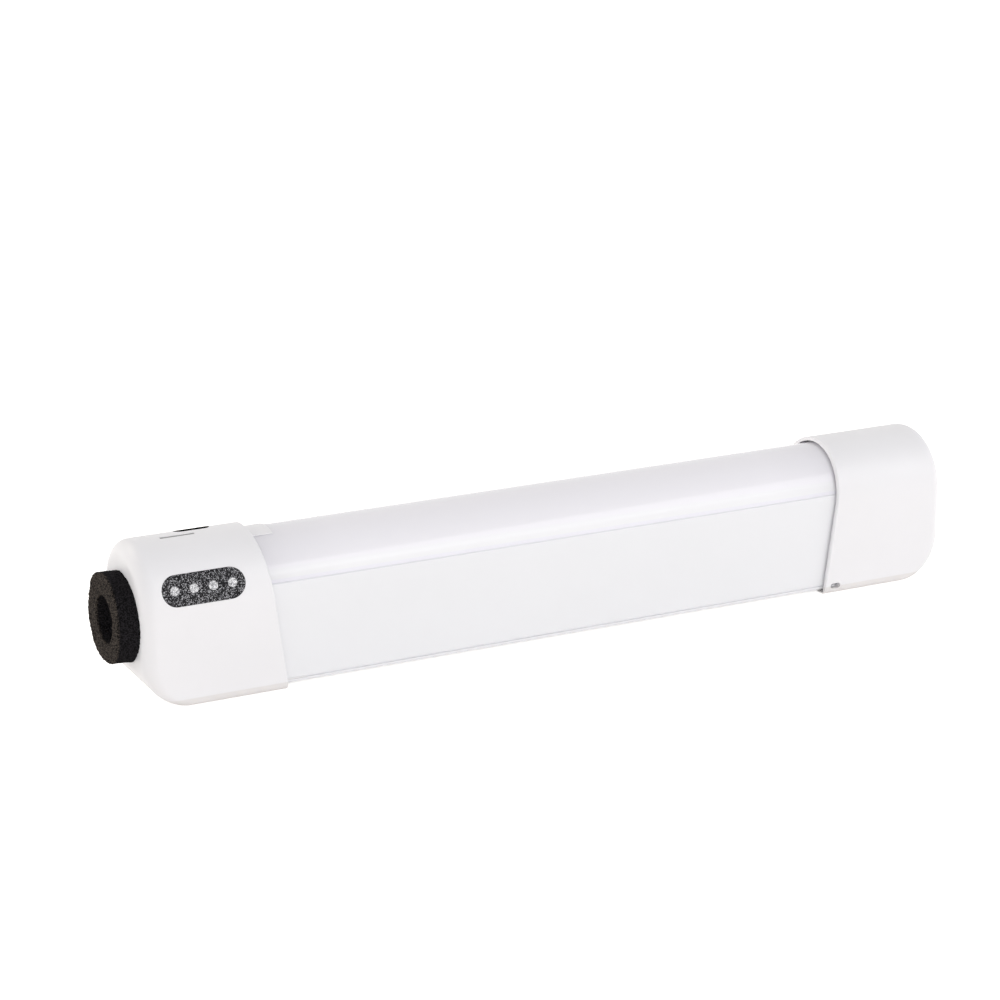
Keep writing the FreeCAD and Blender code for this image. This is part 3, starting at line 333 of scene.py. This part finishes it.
# painted shade near the caps: distances from each end of the cover, in the order of +X
CONTROL_END_SHADE_TONES = ((9 * MM, UNDER_CAP_SHADE_TONE), (16 * MM, NEAR_CAP_SHADE_TONE), (34 * MM, OPEN_TONE))
PLAIN_END_SHADE_TONES = ((30 * MM, OPEN_TONE), (14 * MM, NEAR_CAP_SHADE_TONE), (7 * MM, UNDER_CAP_SHADE_TONE))

opal, shader, made, links = finish("opal", OPAL_TINTS, gloss=(0.07, 0.10), grain=900,
                                   relief=0.003 * MM, stretch=(0.02, 1, 1), strength=0.3, specular=0.38)
# painted reflection band and painted seam shadow, by height
tint_by(made, links, shader, ramp_along(made, links, "Z", HIGHLIGHT_BAND_TONES))
# painted shade, darker towards both caps
low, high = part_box("diffuser")
end_shades = [(low.x + distance, tone) for distance, tone in CONTROL_END_SHADE_TONES]
end_shades += [(high.x - distance, tone) for distance, tone in PLAIN_END_SHADE_TONES]
tint_by(made, links, shader, ramp_along(made, links, "X", end_shades))
dress(opal, "diffuser")


# ------------------------------------------------------------ LED board and LEDs
# Aluminium-cored strip with white solder mask, under the hooks of the channel's rails.
# Each LED is a white moulded frame round a yellow phosphor pad.

MASK_TINTS = ((0.80, 0.81, 0.80), (0.77, 0.78, 0.77))
FRAME_TINTS = ((0.82, 0.82, 0.80), (0.82, 0.82, 0.80))
PHOSPHOR = (0.83, 0.66, 0.10, 1)
LED_PITCH = 6.4 * MM
FIRST_LED = 1.75 * MM
PAD_RADIUS = 1.1 * MM

white_mask = finish("white_solder_mask", MASK_TINTS, gloss=(0.30, 0.40), grain=900, relief=0.01 * MM)[0]
dress(white_mask, "led_board")


def colour_where(made, links, shader, mask, colour):
    """Another base colour where a mask is 1."""
    before = shader.inputs["Base Color"].links[0].from_socket
    links.new(colour_mix(made, links, mask, before, colour), shader.inputs["Base Color"])


led, shader, made, links = finish("led", FRAME_TINTS, gloss=(0.35, 0.45), grain=3000, relief=0.01 * MM)
low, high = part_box("led_emitters")
place = object_place(made, links)
half_pitch = LED_PITCH / 2
step = math_node(made, links, "SUBTRACT", place["X"], low.x + FIRST_LED - half_pitch)
step = math_node(made, links, "MODULO", step, LED_PITCH)
across = math_node(made, links, "SUBTRACT", step, half_pitch)
square = math_node(made, links, "ADD", math_node(made, links, "POWER", across, 2),
                   math_node(made, links, "POWER", place["Y"], 2))
inside = math_node(made, links, "LESS_THAN", square, PAD_RADIUS ** 2)
colour_where(made, links, shader, inside, PHOSPHOR)
dress(led, "led_emitters", "gauge_leds")


# ------------------------------------------------------------ cells, cradle and contacts
# Three lithium cells in blue shrink sleeves lie in a black polypropylene cradle.
# A nickel-plated spring plate presses on each end of the row.

SLEEVE_TINTS = ((0.16, 0.33, 0.52), (0.13, 0.29, 0.47))
CRADLE_TINTS = ((0.020, 0.020, 0.022), (0.028, 0.028, 0.030))
NICKEL_TINTS = ((0.66, 0.64, 0.60), (0.58, 0.56, 0.52))
SLEEVE_START = 1.0 * MM
SLEEVE_END = 2.0 * MM

nickel = finish("nickel", NICKEL_TINTS, gloss=(0.22, 0.36), grain=1500, relief=0.01 * MM,
                metallic=1.0, stretch=(1, 0.08, 1))[0]
dress(nickel, "contact_front", "contact_rear")
dress(finish("cradle_plastic", CRADLE_TINTS, gloss=(0.45, 0.6), grain=1800, relief=0.02 * MM)[0],
      "cell_cradle")
for name in ("cell_1", "cell_2", "cell_3"):
    sleeve, shader, made, links = finish(f"sleeve_{name}", SLEEVE_TINTS, gloss=(0.28, 0.38),
                                         grain=500, relief=0.02 * MM)
    low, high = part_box(name)
    place = object_place(made, links)
    start = math_node(made, links, "LESS_THAN", place["X"], low.x + SLEEVE_START)
    end = math_node(made, links, "GREATER_THAN", place["X"], high.x - SLEEVE_END)
    bare = math_node(made, links, "MAXIMUM", start, end)
    links.new(bare, shader.inputs["Metallic"])
    colour_where(made, links, shader, bare, (*NICKEL_TINTS[0], 1))
    dress(sleeve, name)


# ------------------------------------------------------------ gaskets
# Frames die-cut from black silicone sheet, one at each end of the channel.
# The caps pinch them against the channel when they are pushed on.

RUBBER_TINTS = ((0.022, 0.022, 0.023), (0.034, 0.033, 0.033))

dress(finish("silicone", RUBBER_TINTS, gloss=(0.6, 0.75), grain=2500, relief=0.03 * MM)[0],
      "front_gasket", "rear_gasket")


# ------------------------------------------------------------ end caps
# The control cap and the plain cap are moulded in white ABS and pushed over the channel's ends.
# Their satin finish comes from a spark-eroded mould; a beige band of painted shade darkens their feet.

SHELL_TINTS = ((0.858, 0.851, 0.876), (0.846, 0.839, 0.862))
# painted shade: the feet are darker and beige below this height
FOOT_SHADE_TONE = (0.905, 0.888, 0.865)
SIDE_TONE = (1.0, 1.0, 1.0)
FOOT_SHADE_TONES = ((2.6 * MM, FOOT_SHADE_TONE), (3.0 * MM, SIDE_TONE))

moulded_white, shader, made, links = finish("moulded_white", SHELL_TINTS, gloss=(0.36, 0.48),
                                            grain=2300, relief=0.02 * MM, strength=0.4)
# painted shade along the feet
tint_by(made, links, shader, ramp_along(made, links, "Z", FOOT_SHADE_TONES))
dress(moulded_white, "control_cap", "end_cap")


# ------------------------------------------------------------ foam ring
# Die-cut ring of open-celled black foam, glued to the control cap's end with its own tape.
# The knife leaves a slightly uneven outline, and the cut cells show as pores.

FOAM_CUTS = 23
FOAM_STEPS = 330
SPIN_SEAM = 0.01 * MM
FOAM_HOLE_RADIUS = 7.85 * MM
FOAM_FACE_INSET = 0.05 * MM
FOAM_GLUED_WIDTH = 1.05
FOAM_FREE_WIDTH = 0.82
FOOT_HEIGHT = 2.2 * MM
FOOT_SQUASH = 0.6
UNEVEN_SPAN = 9 * MM
UNEVEN_DEPTH = 0.9 * MM
CELL_SPAN = 0.9 * MM
CELL_DEPTH = 0.45 * MM
FOAM_ROUGHNESS = 0.95
FOAM_SPECULAR = 0.06
# painted light: the end face is lighter and warmer than the sides, where the warm lamp falls on it
FOAM_FACE_LIGHT_TINT = (0.074, 0.062, 0.054, 1)
FOAM_SIDE_TINT = (0.019, 0.0175, 0.020, 1)
PORE_TINT = (0.003, 0.0028, 0.003, 1)
FACE_LIGHT_DEPTHS = (0.9 * MM, 0.3 * MM)
SPECKLES_PER_METRE = 2600
PORE_LOW = 0.46
PORE_HIGH = 0.55
CELLS_PER_METRE = 1700

low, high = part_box("foam_ring")
foam_axis = Vector((0, 0, (low.z + high.z) / 2))
foam_radius = (high.z - low.z) / 2
bpy.ops.object.select_all(action="DESELECT")
bpy.ops.mesh.primitive_plane_add(size=1)
foam = bpy.context.object
foam.name = "die_cut_foam"
foam_face = low.x + FOAM_FACE_INSET
corners = ((foam_face, FOAM_HOLE_RADIUS), (high.x, FOAM_HOLE_RADIUS), (foam_face, foam_radius),
           (high.x, foam_radius))
for vertex, (x, radius) in zip(foam.data.vertices, corners):
    vertex.co = (x, 0, foam_axis.z + radius)
bpy.ops.object.mode_set(mode="EDIT")
bpy.ops.mesh.select_all(action="SELECT")
bpy.ops.mesh.delete(type="ONLY_FACE")
bpy.ops.mesh.select_all(action="SELECT")
bpy.ops.mesh.subdivide(number_cuts=FOAM_CUTS)
bpy.ops.mesh.select_all(action="SELECT")
bpy.ops.mesh.spin(steps=FOAM_STEPS, angle=math.tau, center=foam_axis, axis=(1, 0, 0))
bpy.ops.mesh.select_all(action="SELECT")
bpy.ops.mesh.remove_doubles(threshold=SPIN_SEAM)
bpy.ops.mesh.normals_make_consistent(inside=False)
bpy.ops.object.mode_set(mode="OBJECT")


def select_where(piece, kind, chosen):
    """Select the vertices, edges or faces that pass a test, and go on in edit mode."""
    bpy.ops.object.mode_set(mode="EDIT")
    bpy.ops.mesh.select_mode(type=kind)
    bpy.ops.mesh.select_all(action="DESELECT")
    bpy.ops.object.mode_set(mode="OBJECT")
    mesh = piece.data
    for part in {"VERT": mesh.vertices, "EDGE": mesh.edges, "FACE": mesh.polygons}[kind]:
        part.select = chosen(part)
    bpy.ops.object.mode_set(mode="EDIT")


def place_selected(piece, placed):
    """Move each selected vertex to where a function puts it."""
    bpy.ops.object.mode_set(mode="OBJECT")
    for vertex in piece.data.vertices:
        if vertex.select:
            vertex.co = placed(vertex.co)
    bpy.ops.object.mode_set(mode="EDIT")


def displace(piece, name, kind, size, strength):
    """Press a cloud or cell pattern of a given size into a piece."""
    pattern = bpy.data.textures.new(name, kind)
    pattern.noise_scale = size
    push = piece.modifiers.new(name, "DISPLACE")
    push.texture = pattern
    push.texture_coords = "LOCAL"
    push.strength = strength
    bpy.context.view_layer.objects.active = piece
    bpy.ops.object.modifier_apply(modifier=push.name)


def pick_only(piece):
    """Make a piece the one that is selected and active."""
    bpy.ops.object.select_all(action="DESELECT")
    piece.select_set(True)
    bpy.context.view_layer.objects.active = piece


def squeezed(point):
    """The ring's near side is pinched in at its free face and spreads where it is glued."""
    free = (high.x - point.x) / (high.x - low.x)
    spoke = Vector((0, point.y, point.z - foam_axis.z)).length
    outward = max(0, (spoke - FOAM_HOLE_RADIUS) / (foam_radius - FOAM_HOLE_RADIUS))
    width = FOAM_GLUED_WIDTH + free * (FOAM_FREE_WIDTH - FOAM_GLUED_WIDTH)
    near = max(0, -point.y / foam_radius)
    return (point.x, point.y * (1 + outward * near * (width - 1)), point.z)


pick_only(foam)
foam_foot = low.z + FOOT_HEIGHT
select_where(foam, "VERT", lambda vertex: vertex.co.z < foam_foot)
bpy.ops.transform.resize(value=(1, 1, FOOT_SQUASH), center_override=(low.x, 0, foam_foot))
bpy.ops.mesh.select_all(action="SELECT")
place_selected(foam, squeezed)
bpy.ops.object.mode_set(mode="OBJECT")
displace(foam, "uneven_cut", "CLOUDS", UNEVEN_SPAN, UNEVEN_DEPTH)
displace(foam, "cells", "VORONOI", CELL_SPAN, CELL_DEPTH)
pick_only(foam)
bpy.ops.object.shade_smooth()

foam_skin, shader, made, links = open_material("open_cell_foam")
shader.inputs["Roughness"].default_value = FOAM_ROUGHNESS
shader.inputs["Specular IOR Level"].default_value = FOAM_SPECULAR
where = made.new("ShaderNodeTexCoord")
cells = made.new("ShaderNodeTexVoronoi")
cells.inputs["Scale"].default_value = CELLS_PER_METRE
links.new(where.outputs["Object"], cells.inputs["Vector"])
speckle = noise(made, links, where.outputs["Object"], SPECKLES_PER_METRE, 2)
# painted light on the end face
front = remap(made, links, object_place(made, links)["X"], low.x + FACE_LIGHT_DEPTHS[0],
              low.x + FACE_LIGHT_DEPTHS[1])
tint = colour_mix(made, links, front, FOAM_SIDE_TINT, FOAM_FACE_LIGHT_TINT)
walls = remap(made, links, speckle, PORE_LOW, PORE_HIGH)
links.new(colour_mix(made, links, walls, PORE_TINT, tint), shader.inputs["Base Color"])
rough_surface(made, links, shader, cells.outputs["Distance"], strength=0.8, depth=0.2 * MM)
foam.data.materials.append(foam_skin)
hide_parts("foam_ring")
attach(foam, "tube")


# ------------------------------------------------------------ grip socket
# Turned brass insert with a quarter-inch thread, pulled into the cap's boss from inside.
# A countersunk mouth leads the stud into the thread.

BRASS_TINTS = ((0.60, 0.45, 0.20), (0.52, 0.38, 0.16))
THREAD_PITCH = 1.27 * MM
THREAD_ROOT = 3.20 * MM
THREAD_CREST = 2.65 * MM
THREAD_LAND = 0.10 * MM
SOCKET_MOUTH = 3.60 * MM
SOCKET_SKIN = 4.75 * MM
COUNTERSINK = 0.40 * MM
FLANGE_THICKNESS = 1.2 * MM
TURN_SEAM = 0.005 * MM
TURN_STEPS = 40
SPARE_TURNS = 3
THREAD_SHARP_ANGLE = 25

low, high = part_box("thread_insert")
socket_height = (low.z + high.z) / 2
turns = round((high.x - low.x) / THREAD_PITCH) + SPARE_TURNS
bpy.ops.object.select_all(action="DESELECT")
bpy.ops.mesh.primitive_plane_add(size=1)
socket = bpy.context.object
socket.name = "threaded_socket"
flank = THREAD_PITCH / 2 - THREAD_LAND
tooth = ((0, THREAD_ROOT), (flank, THREAD_CREST), (THREAD_PITCH, THREAD_ROOT),
         (flank + THREAD_LAND * 2, THREAD_CREST))
for vertex, (x, radius) in zip(socket.data.vertices, tooth):
    vertex.co = (low.x - THREAD_PITCH * SPARE_TURNS / 2 + x, 0, radius)


def carry_rim(piece, x, radius):
    """Extrude the selected rim to a ring of that radius at x."""
    def ring_place(point):
        spoke = Vector((0, point.y, point.z)).normalized()
        return Vector((x, 0, 0)) + spoke * radius

    bpy.ops.mesh.extrude_edges_move()
    place_selected(piece, ring_place)


select_where(socket, "EDGE", lambda edge: set(edge.vertices) == {0, 2})
bpy.ops.mesh.delete(type="EDGE")
bpy.ops.object.mode_set(mode="OBJECT")
wind = socket.modifiers.new("thread", "SCREW")
wind.axis = "X"
wind.screw_offset = THREAD_PITCH
wind.iterations = turns
wind.steps = TURN_STEPS
wind.render_steps = TURN_STEPS
bpy.ops.object.modifier_apply(modifier=wind.name)
bpy.ops.object.mode_set(mode="EDIT")
bpy.ops.mesh.select_all(action="SELECT")
bpy.ops.mesh.remove_doubles(threshold=TURN_SEAM)
for x, towards_mouth in ((high.x - COUNTERSINK, False), (low.x + COUNTERSINK, True)):
    bpy.ops.mesh.select_all(action="SELECT")
    bpy.ops.mesh.bisect(plane_co=(x, 0, 0), plane_no=(1, 0, 0), clear_inner=towards_mouth,
                        clear_outer=not towards_mouth)
flange_start = high.x - FLANGE_THICKNESS
flange_radius = (high.z - low.z) / 2
for x, radius in ((low.x, SOCKET_MOUTH), (low.x, SOCKET_SKIN), (flange_start, SOCKET_SKIN),
                  (flange_start, flange_radius), (high.x, flange_radius), (high.x, SOCKET_MOUTH)):
    carry_rim(socket, x, radius)
bpy.ops.mesh.select_all(action="DESELECT")
bpy.ops.mesh.select_non_manifold()
bpy.ops.mesh.bridge_edge_loops()
bpy.ops.mesh.select_all(action="SELECT")
bpy.ops.mesh.normals_make_consistent(inside=False)
bpy.ops.object.mode_set(mode="OBJECT")
socket.location.z = socket_height
bpy.ops.object.transform_apply(location=True)
bpy.ops.object.shade_smooth_by_angle(angle=math.radians(THREAD_SHARP_ANGLE))

brass = finish("brass", BRASS_TINTS, gloss=(0.25, 0.4), grain=1800, relief=0.01 * MM, metallic=1.0,
               stretch=(1, 0.2, 0.2))[0]
socket.data.materials.append(brass)
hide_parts("thread_insert")
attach(socket, "tube")


# ------------------------------------------------------------ battery gauge
# Dark printed film, sparkling like fine metal flake, lies in a shallow recess round the cap.
# Four frosted light guides stand through it, each over an LED on a small board.

FILM_TONES = (((0.003, 0.003, 0.004), 0.50), ((0.027, 0.026, 0.031), 0.70), ((0.52, 0.52, 0.55), 0.98))
GUIDE_TONES = (((0.20, 0.20, 0.22), 0.12), ((0.56, 0.56, 0.58), 0.42), ((0.88, 0.88, 0.90), 0.80))
FLAKES_PER_METRE = 4200
FLAKE_SPECULAR = 0.16
FLAKE_GLOSS = (0.35, 0.65)

# Flake: fine cells, each with a gloss and a value of its own, as in a sparkling print
flake_group, made, links, entry, leave = new_group(
    "flake",
    [("Vector", "NodeSocketVector", (0, 0, 0)), ("Scale", "NodeSocketFloat", 2500.0)],
    [("Value", "NodeSocketFloat"), ("Roughness", "NodeSocketFloat")])
cells = made.new("ShaderNodeTexVoronoi")
links.new(entry.outputs["Vector"], cells.inputs["Vector"])
links.new(entry.outputs["Scale"], cells.inputs["Scale"])
apart = made.new("ShaderNodeSeparateColor")
links.new(cells.outputs["Color"], apart.inputs[0])
links.new(apart.outputs["Red"], leave.inputs["Value"])
links.new(remap(made, links, apart.outputs["Green"], 0, 1, *FLAKE_GLOSS), leave.inputs["Roughness"])


def flaked(name, tones, relief):
    """Speckled finish; tones are (colour, share of the flakes up to it)."""
    material, shader, made, links = open_material(name)
    where = made.new("ShaderNodeTexCoord")
    flakes = place_group(made, links, flake_group, where.outputs["Object"], Scale=FLAKES_PER_METRE)
    ramp = made.new("ShaderNodeValToRGB")
    stop_list = ramp.color_ramp.elements
    stop_list.new(tones[1][1])
    for stop, (colour, place) in zip(stop_list, tones):
        stop.position = place
        stop.color = (*colour, 1)
    links.new(flakes.outputs["Value"], ramp.inputs["Fac"])
    links.new(ramp.outputs["Color"], shader.inputs["Base Color"])
    links.new(flakes.outputs["Roughness"], shader.inputs["Roughness"])
    shader.inputs["Specular IOR Level"].default_value = FLAKE_SPECULAR
    rough_surface(made, links, shader, flakes.outputs["Value"], strength=0.4, depth=relief)
    return material


dress(flaked("flake_film", FILM_TONES, 0.03 * MM), "gauge_window")
dress(flaked("frosted_guide", GUIDE_TONES, 0.02 * MM),
      "gauge_dot_1", "gauge_dot_2", "gauge_dot_3", "gauge_dot_4")


# ------------------------------------------------------------ power button and status light
# Soft-touch black key that slides in its oblong hole and presses a small switch.
# A grey light guide fills the narrow slot beside it.

KEY_TINTS = ((0.003, 0.0028, 0.003), (0.006, 0.0054, 0.0057))
KEY_IOR = 1.1
BAR_TINTS = ((0.32, 0.32, 0.33), (0.25, 0.25, 0.26))
SWITCH_TINTS = ((0.03, 0.03, 0.03), (0.045, 0.045, 0.045))

soft_black, shader, made, links = finish("soft_black", KEY_TINTS, gloss=(0.75, 0.85), grain=2800,
                                         relief=0.02 * MM, specular=0.02)
shader.inputs["IOR"].default_value = KEY_IOR
dress(soft_black, "power_button", "button_plunger")
dress(finish("grey_guide", BAR_TINTS, gloss=(0.3, 0.4), grain=2600, relief=0.02 * MM)[0], "status_bar")
dress(finish("switch_case", SWITCH_TINTS, gloss=(0.4, 0.5), grain=2600, relief=0.02 * MM)[0],
      "button_switch")


# ------------------------------------------------------------ boards, parts and charge port
# Glass-fibre boards under green solder mask, with black moulded chips soldered to the main one.
# The charge port is a stamped steel shell; its black plastic tongue carries gold-plated fingers.

GREEN_TINTS = ((0.010, 0.105, 0.045), (0.008, 0.080, 0.035))
CHIP_TINTS = ((0.018, 0.018, 0.019), (0.030, 0.030, 0.031))
STEEL_TINTS = ((0.60, 0.60, 0.60), (0.52, 0.52, 0.53))
TONGUE_COLOR = (0.012, 0.012, 0.013, 1)
GOLD = (0.80, 0.58, 0.22, 1)
TONGUE_WIDTH = 6.7 * MM
TONGUE_THICKNESS = 0.7 * MM
FINGER_PITCH = 0.5 * MM
FINGER_WIDTH = 0.25 * MM
# the tongue's colour reaches this far from its middle, as shares of its width and thickness
TONGUE_SIDES = 0.52
TONGUE_FACES = 0.55
# the fingers lie further out than this share of its thickness
FINGER_START = 0.46

dress(finish("green_mask", GREEN_TINTS, gloss=(0.25, 0.38), grain=1200, relief=0.02 * MM, drift=600)[0],
      "button_board", "gauge_board", "main_board")
dress(finish("chip_resin", CHIP_TINTS, gloss=(0.45, 0.6), grain=3200, relief=0.02 * MM)[0], "board_parts")
low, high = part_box("charge_port")
port_middle = (low + high) / 2
port, shader, made, links = finish("port_shell", STEEL_TINTS, gloss=(0.22, 0.35), grain=1600,
                                   relief=0.01 * MM, metallic=1.0, stretch=(0.1, 1, 1))
place = object_place(made, links)


def near(axis, middle, reach):
    """1 within that reach of a place along an axis, else 0."""
    off = math_node(made, links, "SUBTRACT", place[axis], middle)
    return math_node(made, links, "LESS_THAN", math_node(made, links, "ABSOLUTE", off, 0), reach)


tongue = math_node(made, links, "MULTIPLY", near("Z", port_middle.z, TONGUE_THICKNESS * TONGUE_FACES),
                   near("X", port_middle.x, TONGUE_WIDTH * TONGUE_SIDES))
along = math_node(made, links, "SUBTRACT", place["X"], port_middle.x - TONGUE_WIDTH / 2)
stripe = math_node(made, links, "LESS_THAN",
                   math_node(made, links, "MODULO", along, FINGER_PITCH), FINGER_WIDTH)
faces = math_node(made, links, "SUBTRACT", 1, near("Z", port_middle.z, TONGUE_THICKNESS * FINGER_START))
finger = math_node(made, links, "MULTIPLY", math_node(made, links, "MULTIPLY", tongue, faces), stripe)
plastic = math_node(made, links, "SUBTRACT", tongue, finger)
links.new(math_node(made, links, "SUBTRACT", 1, plastic), shader.inputs["Metallic"])
colour_where(made, links, shader, tongue, TONGUE_COLOR)
colour_where(made, links, shader, finger, GOLD)
dress(port, "charge_port")


# ------------------------------------------------------------ screws
# Zinc-plated thread-forming screws with a cross recess stamped in the head.
# Two hold the control cap to the channel from below, two hold the board under the button.

ZINC_TINTS = ((0.62, 0.61, 0.58), (0.54, 0.53, 0.51))
CAP_HEAD_HEIGHT = 0.55 * MM
CAP_SHANK_RADIUS = 1.25 * MM
BOARD_HEAD_RADIUS = 1.7 * MM
BOARD_HEAD_HEIGHT = 1.2 * MM
BOARD_SHANK_RADIUS = 0.9 * MM
SCREW_SIDES = 48
# a face counts as level when its normal points at least this much up or down
LEVEL_FACE = 0.9
SHARP_ANGLE = 30
TIP_TAPER = 0.5 * MM
TIP_SHARE = 0.3
# shares of the head's height
BEVEL_HEIGHT = 0.3
RECESS_DEPTH = 0.62
# shares of the head's radius
BEVEL_TOP = 0.88
RIM_WIDTH = 0.08
RECESS_CORE = 0.16
RECESS_WIDTH = 0.55
SEAT_WIDTH = 0.1
# the recess narrows to this share at its floor, and its arms are as slim as this power makes them
RECESS_TAPER = 0.62
ARM_POWER = 8


def pick_face(piece, normal_z):
    """Select the broad flat face that looks up or down."""
    select_where(piece, "FACE", lambda face: face.normal.z * normal_z > LEVEL_FACE
                 and len(face.vertices) == SCREW_SIDES)


def cross_screw(x, y, face, head_radius, head_height, shank_radius, tip):
    """Screw that stands on its head at a height, its tip above it."""
    def ring_place(scale, z):
        """Each vertex on the same spoke, at a share of its distance from the axis, at z."""
        return lambda point: (x + (point.x - x) * scale, y + (point.y - y) * scale, z)

    def cross_place(point):
        """The same spoke, on the outline of the recess."""
        turn = math.atan2(point.y - y, point.x - x)
        reach = head_radius * (RECESS_CORE + RECESS_WIDTH * math.cos(2 * turn) ** ARM_POWER)
        return (x + reach * math.cos(turn), y + reach * math.sin(turn), point.z)

    bpy.ops.object.select_all(action="DESELECT")
    edge = head_height * BEVEL_HEIGHT
    bpy.ops.mesh.primitive_cylinder_add(vertices=SCREW_SIDES, radius=head_radius, depth=head_height - edge,
                                        location=(x, y, face + (head_height + edge) / 2))
    screw = bpy.context.object
    bpy.ops.object.transform_apply(location=True)
    pick_face(screw, -1)
    bpy.ops.mesh.extrude_region_move()
    place_selected(screw, ring_place(BEVEL_TOP, face))
    bpy.ops.mesh.inset(thickness=head_radius * RIM_WIDTH)
    place_selected(screw, cross_place)
    bpy.ops.mesh.extrude_region_move()
    place_selected(screw, ring_place(RECESS_TAPER, face + head_height * RECESS_DEPTH))
    pick_face(screw, 1)
    bpy.ops.mesh.inset(thickness=head_radius * SEAT_WIDTH)
    seat_radius = head_radius * (1 - SEAT_WIDTH)
    place_selected(screw, ring_place(shank_radius / seat_radius, face + head_height))
    for scale, z in ((1, tip - TIP_TAPER), (TIP_SHARE, tip)):
        bpy.ops.mesh.extrude_region_move()
        place_selected(screw, ring_place(scale, z))
    bpy.ops.mesh.select_all(action="SELECT")
    bpy.ops.mesh.normals_make_consistent(inside=False)
    bpy.ops.object.mode_set(mode="OBJECT")
    bpy.ops.object.shade_smooth_by_angle(angle=math.radians(SHARP_ANGLE))
    return screw


def screw_pair(node, screw, shift):
    """One piece of the screw and its copy, moved by that shift, in place of the CAD node."""
    pick_only(screw)
    bpy.ops.object.duplicate(linked=False)
    bpy.context.object.location = shift
    bpy.ops.object.transform_apply(location=True)
    screw.select_set(True)
    bpy.context.view_layer.objects.active = screw
    bpy.ops.object.join()
    screw.name = node + "_cross"
    screw.data.materials.append(zinc)
    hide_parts(node)
    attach(screw, "tube")


zinc = finish("zinc", ZINC_TINTS, gloss=(0.24, 0.38), grain=1800, relief=0.01 * MM, metallic=1.0)[0]
low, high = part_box("control_cap_screws")
head = (high.x - low.x) / 2
screw_pair("control_cap_screws",
           cross_screw(low.x + head, low.y + head, low.z, head, CAP_HEAD_HEIGHT, CAP_SHANK_RADIUS, high.z),
           (0, high.y - low.y - head * 2, 0))
low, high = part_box("board_screws")
head = BOARD_HEAD_RADIUS
screw_pair("board_screws",
           cross_screw(low.x + head, high.y - head, low.z, head, BOARD_HEAD_HEIGHT,
                       BOARD_SHANK_RADIUS, high.z),
           (high.x - low.x - head * 2, head * 2 - high.y + low.y, 0))


# ------------------------------------------------------------ lights and camera
# A long softbox stands at the front right, a smaller warm one behind the left end.
# The camera looks from the front left, a little above the tube, through a long lens.

SENSOR_WIDTH = 36
FOCAL_LENGTH = 106.86
CAMERA_PLACE = (-0.43794, -0.84665, 0.34708)
CAMERA_TILT = 72.387
CAMERA_TURN = -26.662
LAMPS = (
    # name, degrees round from the front, degrees up, distance, width, height, strength, colour
    ("main_softbox", 44, 34, 2.2, 1.90, 0.73, 2.2, (1.0, 1.0, 1.02)),
    ("left_softbox", -140, 40, 1.4, 0.70, 0.70, 2.45, (1.0, 0.91, 0.78)),
)
for name, azimuth, elevation, distance, width, height, strength, colour in LAMPS:
    lamp = bpy.data.lights.new(name, "AREA")
    lamp.shape = "RECTANGLE"
    lamp.size = width
    lamp.size_y = height
    lamp.color = colour
    lamp.energy = strength * math.pi * width * height
    light = bpy.data.objects.new(name, lamp)
    bpy.context.scene.collection.objects.link(light)
    turn, rise = math.radians(azimuth), math.radians(elevation)
    level = math.cos(rise)
    towards = Vector((math.sin(turn) * level, -math.cos(turn) * level, math.sin(rise)))
    light.location = towards * distance
    light.rotation_euler = towards.to_track_quat("Z", "Y").to_euler()

lens = bpy.data.cameras.new("camera")
lens.sensor_width = SENSOR_WIDTH
lens.lens = FOCAL_LENGTH
camera = bpy.data.objects.new("camera", lens)
bpy.context.scene.collection.objects.link(camera)
camera.location = CAMERA_PLACE
camera.rotation_euler = (math.radians(CAMERA_TILT), 0, math.radians(CAMERA_TURN))
bpy.context.scene.camera = camera
bpy.context.scene.view_settings.view_transform = "Standard"
